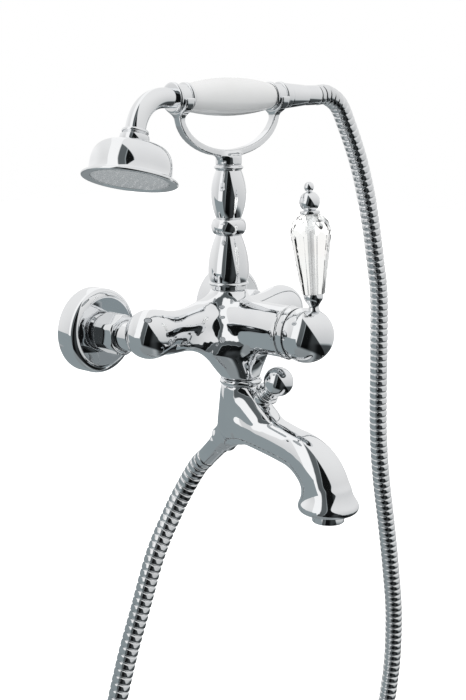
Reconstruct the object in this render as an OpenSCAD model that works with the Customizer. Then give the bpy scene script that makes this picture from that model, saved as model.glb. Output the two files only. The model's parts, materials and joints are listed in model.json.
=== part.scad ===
// Wall-mounted bath shower mixer: two wall unions carry a cast body with a single lever,
// a bath spout with a pull diverter, and a column with a cradle for a hand shower.
// Frame: millimetres, +X right along the wall, +Y into the wall, +Z up.
// Origin on the wall plane, midway between the two inlets.

/* [Wall connection] */
// Distance between the two inlets
inlet_spacing = 150; // [140:1:160]
// Outside diameter of the wall thread, G1/2
wall_thread_d = 20.96; // [20:0.01:22]
// Length of the tail that screws into the wall
wall_tail = 16; // [10:1:25]
// Outside diameter of the union thread, G3/4
union_thread_d = 26.44; // [25:0.01:28]
// Waterway through the unions and the body's inlets
union_bore_d = 14; // [10:0.5:16]
// How far the union stands out of the wall
union_out = 30; // [27:0.5:34]
// Diameter of the wall flanges
flange_d = 65; // [58:0.5:75]
// Depth of the wall flanges
flange_depth = 18; // [14:0.5:22]
// Rounding of the flange's front edge
flange_edge = 6; // [3:0.5:8]
// Wall thickness of the flanges
flange_wall = 1.8; // [1.2:0.1:2.5]
// Wall of the hexagonal union nuts over their thread, at the flats
nut_wall = 1.3; // [1.2:0.1:3]
// Thickness of the sealing washers at the inlets
washer_t = 1.5; // [1:0.1:3]

/* [Body] */
// Distance of the arms' axis from the wall
arm_out = 66; // [62:0.5:72]
// Height of the body's axis above the inlets' axis
body_rise = 4.5; // [0:0.5:6]
// Diameter of the ball ends of the arms
ball_d = 37; // [35:0.5:42]
// Diameter of the arms at their waist
arm_d = 27.8; // [25:0.2:30]
// Wall thickness of the cartridge housing
housing_wall = 2; // [1.6:0.1:3.5]
// Distance of the housing's front face from the arms' axis
housing_len = 73.4; // [70:0.2:78]
// Diameter of the body's neck at the spout ring
neck_d = 29; // [27:0.5:32]
// Height of the neck's lower face below the inlets' axis
neck_drop = 37.5; // [34:0.5:42]

/* [Cartridge and lever] */
// Diameter of the cartridge
cartridge_d = 35; // [34.5:0.1:35.5]
// Length of the cartridge's barrel
cartridge_len = 30; // [26:0.5:32]
// Distance of the ball handle's centre from the housing's front face
handle_gap = 14.2; // [13.5:0.1:16]
// How much larger the ball handle is than the housing
handle_over = 1.8; // [1:0.1:4]
// Wall thickness of the hollow ball handle
handle_wall = 2.4; // [2:0.1:3]
// Step from the housing down to the trim collar behind the ball handle
collar_step = 0.1; // [0:0.05:0.5]
// Diameter of the turning spindle
spindle_d = 11; // [10:0.1:12]
// Diameter of the tilt pin
tilt_pin_d = 3; // [2.5:0.1:4]
// Lean of the lever towards the wall, in degrees
lever_lean = 4; // [0:0.5:8]
// Place of the lever's foot on the ball handle, in degrees forwards of its top
lever_set = 19; // [15:0.5:25]
// Length of the shank under the crystal
shank_len = 12; // [10:0.5:16]
// Length of the crystal grip
crystal_len = 57.5; // [45:0.5:70]
// Largest diameter of the crystal grip, over its corners
crystal_d = 30; // [26:0.5:36]
// Diameter of the crystal grip's two ends
crystal_end_d = 14.6; // [12:0.2:18]
// Height of the crystal's widest section, as a share of its length
crystal_girdle = 0.77; // [0.6:0.01:0.85]
// Number of facets round the crystal
crystal_facets = 10; // [8:1:12]
// Diameter of the finial's large ball
finial_d = 15; // [12:0.5:18]
// Diameter of the finial's small ball
finial_tip_d = 7.2; // [5:0.2:9]

/* [Column and cradle] */
// Distance of the column's axis from the wall
column_out = 76.5; // [74:0.5:80]
// Height where the column stands on the body
column_foot = 31; // [28:0.5:33]
// Diameter of the stud that clamps the column together
stud_d = 10; // [8:0.5:11]
// Height of the base rings together
base_ring_h = 5.3; // [4:0.1:8]
// Diameter of the base ring
base_ring_d = 30.6; // [28:0.2:34]
// Height of the lower baluster
lower_h = 36.2; // [30:0.2:45]
// Largest diameter of the lower baluster
lower_d = 31.6; // [28:0.2:36]
// Height of the bead between the balusters
bead_h = 12.2; // [8:0.2:16]
// Diameter of the bead
bead_d = 27; // [24:0.2:30]
// Height of the upper baluster
upper_h = 36.3; // [30:0.2:45]
// Largest diameter of the upper baluster
upper_d = 26.8; // [24:0.2:30]
// Diameter of the column where the balusters meet the bead
waist_d = 19.2; // [17:0.2:21]
// Height of the ring under the cradle
top_ring_h = 4; // [2:0.2:6]
// Diameter of the ring under the cradle
top_ring_d = 22.4; // [20:0.2:25]
// Diameter of the cradle's spigot
spigot_d = 20; // [18:0.2:22]
// Height of the cradle's spigot
spigot_h = 7; // [5:0.5:12]
// Thickness of the cradle's bow
bow_t = 5.2; // [4:0.2:7]
// Width of the cradle's bow
bow_w = 7; // [5:0.2:10]
// Depth of the cradle's bow, inside
bow_depth = 27; // [20:0.5:34]
// Wall thickness of the yokes
yoke_wall = 3.2; // [2.5:0.1:5]
// Thickness of the yokes along the handset
yoke_t = 8.4; // [6:0.2:9]

/* [Hand shower] */
// Length of the porcelain grip
grip_len = 90; // [80:0.5:95]
// Largest diameter of the porcelain grip
grip_d = 28; // [24:0.2:32]
// Diameter of the porcelain grip's ends
grip_end_d = 19.6; // [18:0.2:22]
// Diameter of the handset's inner tube
grip_tube_d = 13; // [11:0.2:15]
// Diameter of the collars where they lie in the yokes
seat_d = 18.6; // [17:0.2:20]
// Length of the collars
collar_len = 15.5; // [14:0.5:18]
// Diameter of the collars' rims
rim_d = 22; // [20:0.2:24]
// Width of the collars' end faces round the inner tube
collar_lip = 0.8; // [0.6:0.1:1.6]
// Diameter of the bent neck
neck_tube_d = 14.6; // [13.6:0.2:17]
// Bend radius of the neck
neck_bend_r = 30; // [26:0.5:34]
// Tilt of the spray head away from the column, in degrees
head_tilt = 17; // [10:1:25]
// Roll of the spray head towards the room, in degrees
head_roll = 7; // [0:1:12]
// Diameter of the nut that holds the spray head
head_nut_d = 20.6; // [19:0.2:23]
// Height of the nut that holds the spray head
head_nut_h = 9.6; // [8:0.2:12]
// Diameter of the spray head's dome
dome_d = 58; // [50:0.5:66]
// Height of the spray head's dome
dome_h = 24.4; // [18:0.2:28]
// Squareness of the dome's outline, 1 for half an ellipse and less for straighter sides
dome_square = 0.7; // [0.5:0.05:1]
// Diameter of the spray head's rim
head_rim_d = 68; // [62:0.5:80]
// Length of the hose nut on the handset
hose_nut_len = 27; // [22:0.5:32]

/* [Spout and diverter] */
// Distance of the spout's upright barrel from the wall
spout_out = 89; // [86:0.5:92]
// Diameter of the ring between body and spout
spout_ring_d = 33; // [32:0.2:36]
// Height of the ring between body and spout
spout_ring_h = 4.4; // [3:0.2:6]
// Diameter of the spout's upright barrel
barrel_d = 30.6; // [29:0.2:33]
// Diameter of the barrel's foot, where the arm leaves it
barrel_foot_d = 36.4; // [33:0.2:38]
// Length of the spout's upright barrel, down to the middle of its round foot
barrel_len = 31.5; // [29:0.5:35]
// Diameter of the spout's arm
spout_d = 29.6; // [28:0.2:32]
// Distance of the outlet's axis from the wall
outlet_out = 176.5; // [170:0.5:185]
// Bend radius of the spout's arm
spout_bend_r = 44; // [40:0.5:50]
// Height of the outlet's lip below the inlets' axis
outlet_drop = 126; // [120:0.5:132]
// Diameter of the flared lip at the outlet
lip_d = 46.6; // [40:0.2:50]
// Wall thickness of the spout
spout_wall = 3; // [2.5:0.1:4]
// Diameter of the aerator
aerator_d = 24; // [22:0.1:26]
// Length of the aerator below the lip
aerator_out = 7.4; // [4:0.2:9]
// Travel of the diverter
diverter_travel = 8; // [5:0.5:10]
// Diameter of the diverter's stem
diverter_stem_d = 6; // [5:0.1:7]
// Diameter of the diverter's ball knob
knob_d = 22.6; // [20:0.2:26]
// Slant of the diverter and hose outlet, in degrees from upright
valve_slant = 45; // [40:1:50]

/* [Hose] */
// Outside diameter of the shower hose
hose_d = 15.6; // [14:0.2:17]
// Bore of the shower hose
hose_bore = 8; // [7:0.5:9]
// Depth of the hose's ribs
rib_depth = 1; // [0.5:0.1:1.2]
// Number of ribs along the hose
rib_count = 200; // [100:10:200]

/* [Hidden] */
$fn = 72;
fit = 0.05;
slip = 0.1;
running = 0.06;
free_gap = 0.35;
union_shoulder_d = union_thread_d + 2;
union_shoulder_len = 8;
nut_back = flange_depth + 2;
nut_flats = union_thread_d + 2 * nut_wall;
nut_corner_r = nut_flats / 2 + 1.2;
inlet_collar_t = 4.4;
inlet_neck_d = 22;
inlet_face = union_out + washer_t;
nut_front = inlet_face + inlet_collar_t + 4.2;
body_z = body_rise;
housing_d = cartridge_d + 2 * housing_wall;
handle_d = housing_d + handle_over;
housing_out = arm_out + housing_len;
handle_out = housing_out + handle_gap;
collar_d = housing_d - 2 * collar_step;
seal_t = 0.8;
cartridge_nut_len = 8;
collar_plug = 3.2;
cavity_depth = seal_t + cartridge_len + cartridge_nut_len + collar_plug;
cavity_back = housing_out - cavity_depth;
port_r = 4.5;
port_edge = 5.5;
port_x = cartridge_d / 2 - port_edge;
feed_r = 6.5;
outlet_port_r = 3.5;
outlet_port_drop = cartridge_d / 2 - port_edge;
outlet_bore_r = 8;
cartridge_front = cavity_back + seal_t + cartridge_len;
spindle_r = spindle_d / 2;
neck_wall = 1.6;
cartridge_neck_r = spindle_r + running + neck_wall;
cartridge_neck_front = handle_out - 6.5;
handle_r = handle_d / 2;
handle_in_r = handle_r - handle_wall;
handle_mouth = 46;
ear_slot = 4.2;
ear_front = 4.6;
tang_t = 4;
stem_boss_r = 5;
stem_boss_len = 6;
seam = 0.4;
collar_front = handle_out - 10;
lever_foot_r = handle_r + 0.2;
lever_foot_out = handle_out + lever_foot_r * sin(lever_set);
lever_foot_z = body_z + lever_foot_r * cos(lever_set);
tie_rod_r = 2;
grip_cap_h = 2.6;
column_z1 = column_foot + base_ring_h;
column_z2 = column_z1 + lower_h;
column_z3 = column_z2 + bead_h;
column_z4 = column_z3 + upper_h;
column_z5 = column_z4 + top_ring_h;
stud_r = stud_d / 2;
stud_hold = 16;
seat_r = seat_d / 2;
yoke_in_r = seat_r + free_gap;
yoke_out_r = yoke_in_r + yoke_wall;
yoke_mouth_z = 0;
yoke_x = (grip_len + collar_len) / 2;
bow_bottom = column_z5 + spigot_h - 1;
bow_top = bow_bottom + bow_depth + bow_t;
handset_z = bow_top + yoke_out_r - 1;
collar_x0 = grip_len / 2;
collar_x1 = collar_x0 + collar_len;
neck_end_angle = 90 - head_tilt;
neck_straight = 9;
neck_wall_t = 1.6;
rim_t = 2.4;
head_wall = 1.6;
plate_t = 2;
barrel_top = neck_drop + spout_ring_h;
valve_z = barrel_top + barrel_len - 0.4;
boss_r = 8.6;
boss_clear = 3.6;
boss_top = (valve_z - barrel_top - boss_clear - boss_r * sin(valve_slant)) / cos(valve_slant);
bonnet_r = 7.6;
bonnet_top = boss_top + 4;
knob_gap = 2.4;
knob_flange_r = 9.6;
knob_s = 54;
outlet_boss_r = 11.2;
outlet_boss_end = 27;
ferrule_r = 8.6;
ferrule_end_r = 7.7;
ferrule_end = 51.5;
ferrule_thread_r = 7.4;
ferrule_thread_len = 9;
nipple_r = 10.4;
nipple_len = 22;
spout_socket = 14;
arm_step = 0.1;
arm_root = barrel_top + barrel_len - 2.6;
bend_out = outlet_out - spout_bend_r;
arm_run = norm([bend_out - spout_out, outlet_drop - arm_root]);
spout_fall = atan2(outlet_drop - arm_root, bend_out - spout_out) - asin(spout_bend_r / arm_run);
outlet_skip = 14;
upper_nut_r = 9.8;
upper_sleeve_r = 7.8;
upper_sleeve_len = 16;
hose_in = 0.3;

// Half-cosine step from 0 to 1.
function ease(t) = (1 - cos(180 * t)) / 2;
// Points of a half-cosine flare from [r0, z0] to [r1, z1].
function flare(r0, z0, r1, z1, n = 10) =
    [for (i = [0:n]) [r0 + (r1 - r0) * ease(i / n), z0 + (z1 - z0) * i / n]];
// Points of a quarter or half round of radius r about [cr, cz].
function round_pts(cr, cz, r, a0, a1, n = 8) =
    [for (i = [0:n]) let (a = a0 + (a1 - a0) * i / n) [cr + r * cos(a), cz + r * sin(a)]];

// Local +Z points out of the wall, from the point (x, z) on it.
module from_wall(x, z) translate([x, 0, z]) rotate([90, 0, 0]) children();
// Local +Z points along the handset, towards the hose.
module on_handset() translate([0, -column_out, handset_z]) rotate([0, 90, 0]) children();
// Local +Z points along the diverter, up and forwards.
module on_valve() translate([0, -spout_out, -valve_z]) rotate([valve_slant, 0, 0]) children();
// Local +Z points up the column.
module on_column() translate([0, -column_out, 0]) children();
// Local +Z points up the lever.
module on_lever() translate([0, -lever_foot_out, lever_foot_z]) rotate([-lever_lean, 0, 0]) children();
// Local +Z points down through the spray head, from the end of the neck.
module on_head() translate([0, -column_out, handset_z]) rotate([-head_roll, 0, 0])
    translate([-collar_x1 - neck_straight, 0, -neck_bend_r]) rotate([0, -neck_end_angle, 0])
        translate([0, 0, neck_bend_r]) rotate([0, -90, 0]) children();

module turned(points) rotate_extrude() polygon(points);
module tube(r_out, r_in, z0, z1) turned([[r_in, z0], [r_out, z0], [r_out, z1], [r_in, z1]]);
module rod(r, z0, z1) translate([0, 0, z0]) cylinder(r = r, h = z1 - z0);
module both_inlets() for (s = [-1, 1]) from_wall(s * inlet_spacing / 2, 0) children();

module wall_union(x) color("silver") from_wall(x, 0) difference() {
    union() {
        rod(wall_thread_d / 2, -wall_tail, 0);
        rod(union_shoulder_d / 2, 0, union_shoulder_len);
        rod(union_thread_d / 2, union_shoulder_len, union_out);
    }
    rod(union_bore_d / 2, -wall_tail - 1, union_out + 1);
}
module left_wall_union() wall_union(-inlet_spacing / 2);
module right_wall_union() wall_union(inlet_spacing / 2);

module wall_flange(x) color("gainsboro") from_wall(x, 0) turned(concat(
    [[union_thread_d / 2 + slip, flange_depth]],
    [for (p = round_pts(flange_d / 2 - flange_edge, flange_depth - flange_edge, flange_edge, 90, 0)) p],
    [[flange_d / 2, 0], [flange_d / 2 - flange_wall, 0]],
    [for (p = round_pts(flange_d / 2 - flange_edge, flange_depth - flange_edge,
        flange_edge - flange_wall, 0, 90)) p],
    [[union_thread_d / 2 + slip, flange_depth - flange_wall]]));
module left_wall_flange() wall_flange(-inlet_spacing / 2);
module right_wall_flange() wall_flange(inlet_spacing / 2);

module union_nut(x) color("gainsboro") from_wall(x, 0) {
    bevel = 1.2;
    lip = inlet_face + inlet_collar_t + slip;
    difference() {
        intersection() {
            translate([0, 0, nut_back]) rotate(30)
                cylinder(r = nut_flats / sqrt(3), h = nut_front - nut_back, $fn = 6);
            turned([[0, nut_back], [nut_corner_r - bevel, nut_back], [nut_corner_r, nut_back + bevel],
                [nut_corner_r, nut_front - bevel], [nut_corner_r - bevel, nut_front], [0, nut_front]]);
        }
        rod(union_thread_d / 2 + slip, nut_back - 1, lip);
        rod(inlet_neck_d / 2 + slip, nut_back - 1, nut_front + 1);
    }
}
module left_union_nut() union_nut(-inlet_spacing / 2);
module right_union_nut() union_nut(inlet_spacing / 2);

module inlet_washers() color("dimgray") both_inlets()
    tube(union_thread_d / 2 - 0.4, union_bore_d / 2 + 1, union_out, inlet_face);

// Radius of the arm at distance x from the body's middle.
function arm_r(x) = let (waist_x = inlet_spacing * 0.3, end_x = inlet_spacing / 2)
    x < waist_x ? arm_d / 2 + (housing_d - arm_d) / 2 * ease((waist_x - x) / waist_x)
    : arm_d / 2 + (ball_d - arm_d) / 2 * ease((x - waist_x) / (end_x - waist_x));
module arms() translate([0, -arm_out, body_z]) rotate([0, 90, 0]) turned(concat(
    [for (p = round_pts(0, -inlet_spacing / 2, ball_d / 2, -90, 0, 12)) p],
    [for (i = [1:39]) let (x = inlet_spacing * (i / 40 - 0.5)) [arm_r(abs(x)), x]],
    [for (p = round_pts(0, inlet_spacing / 2, ball_d / 2, 0, 90, 12)) p]));
// Loft between ellipses: each section is [half width in X, half width in Y, y, z].
module loft(sections, sides = 36) {
    n = len(sections);
    points = [for (s = sections) for (k = [0:sides - 1]) let (a = 360 * k / sides)
        [s[0] * cos(a), s[2] + s[1] * sin(a), s[3]]];
    polyhedron(points, concat(
        [[for (k = [0:sides - 1]) k]],
        [for (i = [0:n - 2]) for (k = [0:sides - 1]) let (m = (k + 1) % sides)
            each [[i * sides + k, (i + 1) * sides + k, (i + 1) * sides + m],
                [i * sides + k, (i + 1) * sides + m, i * sides + m]]],
        [[for (k = [sides - 1:-1:0]) (n - 1) * sides + k]]));
}
// Webs that blend the neck and the column's foot into the arms.
module body_webs() {
    foot_r = base_ring_d / 2 - 1.4;
    mid_y = -(arm_out + column_out) / 2;
    web_x = inlet_spacing * 0.21;
    loft([for (i = [0:8]) let (t = i / 8, u = pow(t, 2.2))
        [neck_d / 2 + (web_x - neck_d / 2) * u, neck_d / 2 + (housing_d - neck_d) / 2 * u * 0.8,
            -spout_out + (spout_out + mid_y) * u, -neck_drop + (neck_drop + body_z) * t]]);
    loft([for (i = [0:8]) let (t = i / 8, u = 1 - pow(1 - t, 1.8))
        [neck_d / 2 + (housing_d / 2 - neck_d / 2) * t, neck_d / 2 + 1.5 * t,
            -spout_out + (spout_out - arm_out) * u, -neck_drop + (neck_drop - 5) * t]]);
    loft([for (i = [0:8]) let (t = i / 8, u = pow(1 - t, 2.4))
        [foot_r + (web_x - foot_r) * u, foot_r + (housing_d / 2 - foot_r) * u,
            -column_out + (column_out + mid_y) * u, body_z + (column_foot - body_z) * t]]);
}
module mixer_body() color("gainsboro") difference() {
    union() {
        arms();
        body_webs();
        from_wall(0, body_z) rod(housing_d / 2, arm_out, housing_out);
        both_inlets() {
            rod(union_thread_d / 2 - slip, inlet_face, inlet_face + inlet_collar_t);
            rod(inlet_neck_d / 2, inlet_face, arm_out);
        }
    }
    both_inlets() rod(union_bore_d / 2, inlet_face - 1, arm_out);
    for (s = [-1, 1]) {
        translate([s * port_x, -arm_out, body_z]) rotate([0, s * 90, 0])
            cylinder(r = feed_r, h = inlet_spacing / 2 - port_x);
        from_wall(s * port_x, body_z) rod(port_r, arm_out - port_r, cavity_back + 1);
    }
    from_wall(0, body_z) rod(cartridge_d / 2 + fit, cavity_back, housing_out + 1);
    from_wall(0, body_z - outlet_port_drop) rod(outlet_port_r, spout_out - outlet_bore_r / 2, cavity_back + 1);
    translate([0, -spout_out, 0]) {
        rod(outlet_bore_r, -neck_drop - 1, body_z - outlet_port_drop + outlet_port_r);
        rod(nipple_r + slip, -neck_drop - 1, -neck_drop + nipple_len / 2);
    }
    on_column() rod(stud_r + fit, column_foot - stud_hold, column_foot + 1);
}

module cartridge_barrel() color("whitesmoke") from_wall(0, body_z) difference() {
    union() {
        rod(cartridge_d / 2, cavity_back + seal_t, cartridge_front);
        rod(cartridge_neck_r, cartridge_front, cartridge_neck_front);
    }
    for (s = [-1, 1]) translate([s * port_x, 0, 0]) rod(port_r - 1, cavity_back, cavity_back + 12);
    translate([0, -outlet_port_drop, 0]) rod(outlet_port_r - 0.5, cavity_back, cavity_back + 12);
    rod(cartridge_d / 2 - 2.5, cavity_back + 8, cavity_back + 16);
    rod(spindle_r + running, cavity_back + 15, cartridge_neck_front + 1);
}
module cartridge_seals() color("dimgray") from_wall(0, body_z) {
    for (s = [-1, 1]) translate([s * port_x, 0, 0])
        tube(port_r + 0.6, port_r - 0.8, cavity_back, cavity_back + seal_t);
    translate([0, -outlet_port_drop, 0])
        tube(outlet_port_r + 1, outlet_port_r - 0.3, cavity_back, cavity_back + seal_t);
}
// Room for the ball handle to turn and tilt.
module handle_room() translate([0, 0, handle_out]) sphere(r = handle_r + free_gap, $fn = 96);
module cartridge_nut() color("goldenrod") from_wall(0, body_z) difference() {
    tube(cartridge_d / 2, cartridge_neck_r + slip, cartridge_front, cartridge_front + cartridge_nut_len);
    handle_room();
}
module trim_collar() color("gainsboro") from_wall(0, body_z) difference() {
    union() {
        tube(cartridge_d / 2 - fit, cartridge_neck_r + 6, cartridge_front + cartridge_nut_len, housing_out);
        tube(collar_d / 2, cartridge_neck_r + 6, housing_out, collar_front);
    }
    handle_room();
    translate([0, 0, housing_out - 0.1]) tube(collar_d / 2 + 1, collar_d / 2 - 0.6, 0, seam);
}
module ceramic_disc() color("ivory") from_wall(0, body_z)
    rod(cartridge_d / 2 - 3, cavity_back + 8.4, cavity_back + 11);
module spindle() color("silver") from_wall(0, body_z) difference() {
    rod(spindle_r, cavity_back + 11, handle_out + ear_front);
    translate([-ear_slot / 2, -spindle_d, handle_out - 6]) cube([ear_slot, 2 * spindle_d, spindle_d * 2]);
    translate([0, 0, handle_out]) rotate([0, 90, 0])
        cylinder(r = tilt_pin_d / 2 + fit, h = spindle_d * 2, center = true);
}
module tilt_pin() color("dimgray") from_wall(0, body_z) translate([0, 0, handle_out]) rotate([0, 90, 0])
    cylinder(r = tilt_pin_d / 2, h = spindle_d - 2, center = true);

module lever_stem() color("silver") from_wall(0, body_z) difference() {
    eye_r = tilt_pin_d / 2 + 2.4;
    boss_front = handle_out + sqrt(pow(handle_in_r, 2) - pow(stem_boss_r, 2)) - slip;
    union() {
        translate([0, 0, handle_out]) rotate([0, 90, 0]) cylinder(r = eye_r, h = tang_t, center = true);
        translate([-tang_t / 2, -eye_r, handle_out])
            cube([tang_t, 2 * eye_r, boss_front - handle_out - stem_boss_len + 1]);
        rod(stem_boss_r, boss_front - stem_boss_len, boss_front);
    }
    translate([0, 0, handle_out]) rotate([0, 90, 0])
        cylinder(r = tilt_pin_d / 2 + running, h = 2 * tang_t, center = true);
}
module lever_grub_screw() color("dimgray") from_wall(0, body_z) {
    hold = handle_out + sqrt(pow(handle_in_r, 2) - pow(stem_boss_r, 2)) - slip - stem_boss_len / 2;
    translate([0, -stem_boss_r - fit, hold]) rotate([90, 0, 0]) cylinder(r = 1.5,
        h = sqrt(pow(handle_r, 2) - pow(hold - handle_out, 2)) - stem_boss_r - 1.2);
}
module lever_ball() color("gainsboro") difference() {
    from_wall(0, body_z) translate([0, 0, handle_out]) difference() {
        sphere(r = handle_r, $fn = 96);
        sphere(r = handle_in_r, $fn = 96);
        mirror([0, 0, 1]) cylinder(r1 = 0, r2 = 2 * handle_r * tan(handle_mouth), h = 2 * handle_r);
    }
    from_wall(0, body_z) {
        hold = handle_out + sqrt(pow(handle_in_r, 2) - pow(stem_boss_r, 2)) - slip - stem_boss_len / 2;
        translate([0, -stem_boss_r, hold]) rotate([90, 0, 0]) cylinder(r = 1.5 + fit, h = handle_r);
    }
    on_lever() rod(tie_rod_r + fit, -8, 6);
}
module lever_shank() color("gainsboro") on_lever() difference() {
    foot_r = 4.2;
    neck_r = 3.6;
    turned(concat([[tie_rod_r + fit, -6], [foot_r, -6], [foot_r, 0]],
        flare(neck_r, 2, crystal_end_d / 2, shank_len - 2),
        [[crystal_end_d / 2, shank_len], [tie_rod_r + fit, shank_len]]));
    on_ball_seat() sphere(r = handle_r + 0.02, $fn = 96);
}
// Undoes on_lever(), so that children sit about the ball handle's centre.
module on_ball_seat() rotate([lever_lean, 0, 0])
    translate([0, lever_foot_out - handle_out, body_z - lever_foot_z]) children();
module crystal_grip() color([0.9, 0.92, 0.9, 0.6]) on_lever() translate([0, 0, shank_len]) difference() {
    girdle = crystal_len * crystal_girdle;
    union() {
        cylinder(d1 = crystal_end_d, d2 = crystal_d, h = girdle, $fn = crystal_facets);
        translate([0, 0, girdle]) cylinder(d1 = crystal_d, d2 = crystal_end_d,
            h = crystal_len - girdle, $fn = crystal_facets);
    }
    translate([0, 0, -1]) cylinder(r = tie_rod_r + 0.3, h = crystal_len + 2, $fn = 24);
}
grip_top = shank_len + crystal_len;
module grip_tie_rod() color("silver") on_lever() rod(tie_rod_r, -4, grip_top + grip_cap_h + 4);
module grip_cap() color("gainsboro") on_lever()
    tube(crystal_end_d / 2, tie_rod_r + fit, grip_top, grip_top + grip_cap_h);
module lever_finial() color("gainsboro") on_lever() {
    ball_z = grip_top + grip_cap_h + finial_d / 2 - 1.2;
    tip_z = ball_z + (finial_d + finial_tip_d) / 2 - 0.6;
    difference() {
        union() {
            translate([0, 0, ball_z]) sphere(d = finial_d);
            translate([0, 0, tip_z]) sphere(d = finial_tip_d);
        }
        rod(tie_rod_r + fit, 0, grip_top + grip_cap_h + 4.2);
        rod(finial_d, 0, grip_top + grip_cap_h);
    }
}

module column_piece(points) color("gainsboro") on_column()
    turned(concat([[stud_r + fit, points[0][1]]], points, [[stud_r + fit, points[len(points) - 1][1]]]));
module column_base_ring() {
    r = base_ring_d / 2;
    h = base_ring_h / 2;
    column_piece(concat([[r - 1.4, column_foot], [r - 1.4, column_foot + h]],
        round_pts(r - h / 2, column_foot + h * 1.5, h / 2, -90, 90)));
}
module lower_baluster() column_piece(concat(
    flare(lower_d / 2 - 1.8, column_z1, lower_d / 2, column_z1 + lower_h * 0.28),
    flare(lower_d / 2, column_z1 + lower_h * 0.28, waist_d / 2, column_z2, 16)));
module column_bead() {
    r = bead_d / 2;
    column_piece([for (i = [0:12]) let (a = -90 + 15 * i)
        [waist_d / 2 + (r - waist_d / 2) * cos(a), column_z2 + bead_h / 2 * (1 + sin(a))]]);
}
module upper_baluster() column_piece(concat(
    flare(waist_d / 2, column_z3, upper_d / 2, column_z3 + upper_h * 0.5),
    flare(upper_d / 2, column_z3 + upper_h * 0.5, waist_d / 2, column_z4)));
module column_top_ring() column_piece(concat([[spigot_d / 2, column_z4]],
    round_pts(top_ring_d / 2 - top_ring_h / 4, column_z4 + top_ring_h / 2, top_ring_h / 4, -90, 90),
    [[spigot_d / 2, column_z5]]));
module column_stud() color("silver") on_column()
    rod(stud_r, column_foot - stud_hold + 0.5, column_z5 + spigot_h - 1.5);

// Points of the cradle's bow: half an ellipse, open at the top.
function bow_pts(half, depth) =
    [for (i = [0:24]) let (a = 180 + 7.5 * i) [half * cos(a), bow_top + depth * sin(a)]];
module bow() translate([0, -column_out, 0]) rotate([90, 0, 0]) translate([0, 0, -bow_w / 2])
    linear_extrude(bow_w) polygon(concat(bow_pts(yoke_x + bow_t / 2, bow_depth + bow_t),
        [for (i = [24:-1:0]) bow_pts(yoke_x - bow_t / 2, bow_depth)[i]]));
module yoke(s) on_handset() difference() {
    tube(yoke_out_r, yoke_in_r, s * yoke_x - yoke_t / 2, s * yoke_x + yoke_t / 2);
    translate([-2 * yoke_out_r - yoke_mouth_z, -yoke_out_r, s * yoke_x - yoke_t])
        cube([2 * yoke_out_r, 2 * yoke_out_r, 2 * yoke_t]);
}
module cradle_fork() color("gainsboro") {
    bow();
    yoke(-1);
    yoke(1);
    on_column() difference() {
        rod(spigot_d / 2, column_z5, column_z5 + spigot_h);
        rod(stud_r + fit, column_z5 - 1, column_z5 + spigot_h - 1);
    }
}

// Room for the diverter's bonnet above its boss.
module bonnet_relief() on_valve() rod(bonnet_r + free_gap, boss_top, boss_top + spout_ring_d);
module spout_ring() color("gainsboro") difference() {
    r = spout_ring_d / 2;
    h = spout_ring_h;
    translate([0, -spout_out, 0]) turned(concat([[nipple_r + slip, -barrel_top]],
        round_pts(r - h / 2, -barrel_top + h / 2, h / 2, -90, 90), [[nipple_r + slip, -neck_drop]]));
    bonnet_relief();
}
module spout_nipple() color("silver") translate([0, -spout_out, 0]) tube(nipple_r, outlet_bore_r,
    -barrel_top - nipple_len / 2 + 1, -neck_drop + nipple_len / 2 - 1);
// The spout's run: barrel, falling arm and bend down to the outlet, all inset by the wall.
module spout_run(wall) {
    turn = 90 - spout_fall;
    start_out = bend_out + spout_bend_r * cos(turn);
    r = spout_d / 2 - wall;
    foot_r = barrel_foot_d / 2 - wall;
    inner_len = wall > 0 ? barrel_len - spout_socket : barrel_len;
    skip = wall > 0 ? outlet_skip : 0;
    translate([0, -spout_out, -barrel_top - barrel_len])
        turned(concat(round_pts(0, 0, foot_r, -90, 0), [[barrel_d / 2 - wall, inner_len], [0, inner_len]]));
    translate([0, -start_out, -outlet_drop + spout_bend_r * sin(turn)]) rotate([-turn, 0, 0])
        rod(r - arm_step, -1, (start_out - spout_out) / cos(spout_fall));
    translate([0, -bend_out, -outlet_drop]) rotate([90, 0, -90])
        rotate(skip) rotate_extrude(angle = turn - skip) translate([spout_bend_r, 0]) circle(r = r);
}
lip_z = -outlet_drop + 0.4;
module spout_tip() translate([0, -outlet_out, 0]) turned(concat([[0, lip_z - 0.4]],
    [[lip_d / 2 - 2, lip_z - 0.4]], round_pts(lip_d / 2 - 1.6, lip_z + 1.2, 1.6, -90, 60, 6),
    flare(lip_d / 2 - 3, lip_z + 3, spout_d / 2 + 1.6, lip_z + 15, 8),
    [[spout_d / 2, lip_z + 22], [0, lip_z + 22]]));
module spout() color("gainsboro") difference() {
    union() {
        spout_run(0);
        spout_tip();
        on_valve() {
            rod(boss_r, 0, boss_top);
            rod(outlet_boss_r, -outlet_boss_end, 0);
        }
    }
    spout_run(spout_wall);
    bonnet_relief();
    translate([0, -spout_out, 0]) rod(nipple_r + slip, -barrel_top - spout_socket - 1, -barrel_top + 1);
    translate([0, -outlet_out, 0]) rod(aerator_d / 2 - 0.8, lip_z - 1, lip_z + 16);
    on_valve() {
        rod(bonnet_r - 1.4, 0, boss_top + 1);
        rod(ferrule_thread_r + slip, -outlet_boss_end - 1, 0);
    }
}
module aerator_housing() color("gainsboro") translate([0, -outlet_out, 0]) difference() {
    union() {
        rod(aerator_d / 2, lip_z - 0.4 - aerator_out, lip_z - 0.4);
        rod(aerator_d / 2 - 0.8 - fit, lip_z - 0.4, lip_z + 7);
    }
    rod(aerator_d / 2 - 2.4, lip_z - 1 - aerator_out, lip_z + 8);
}
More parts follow.
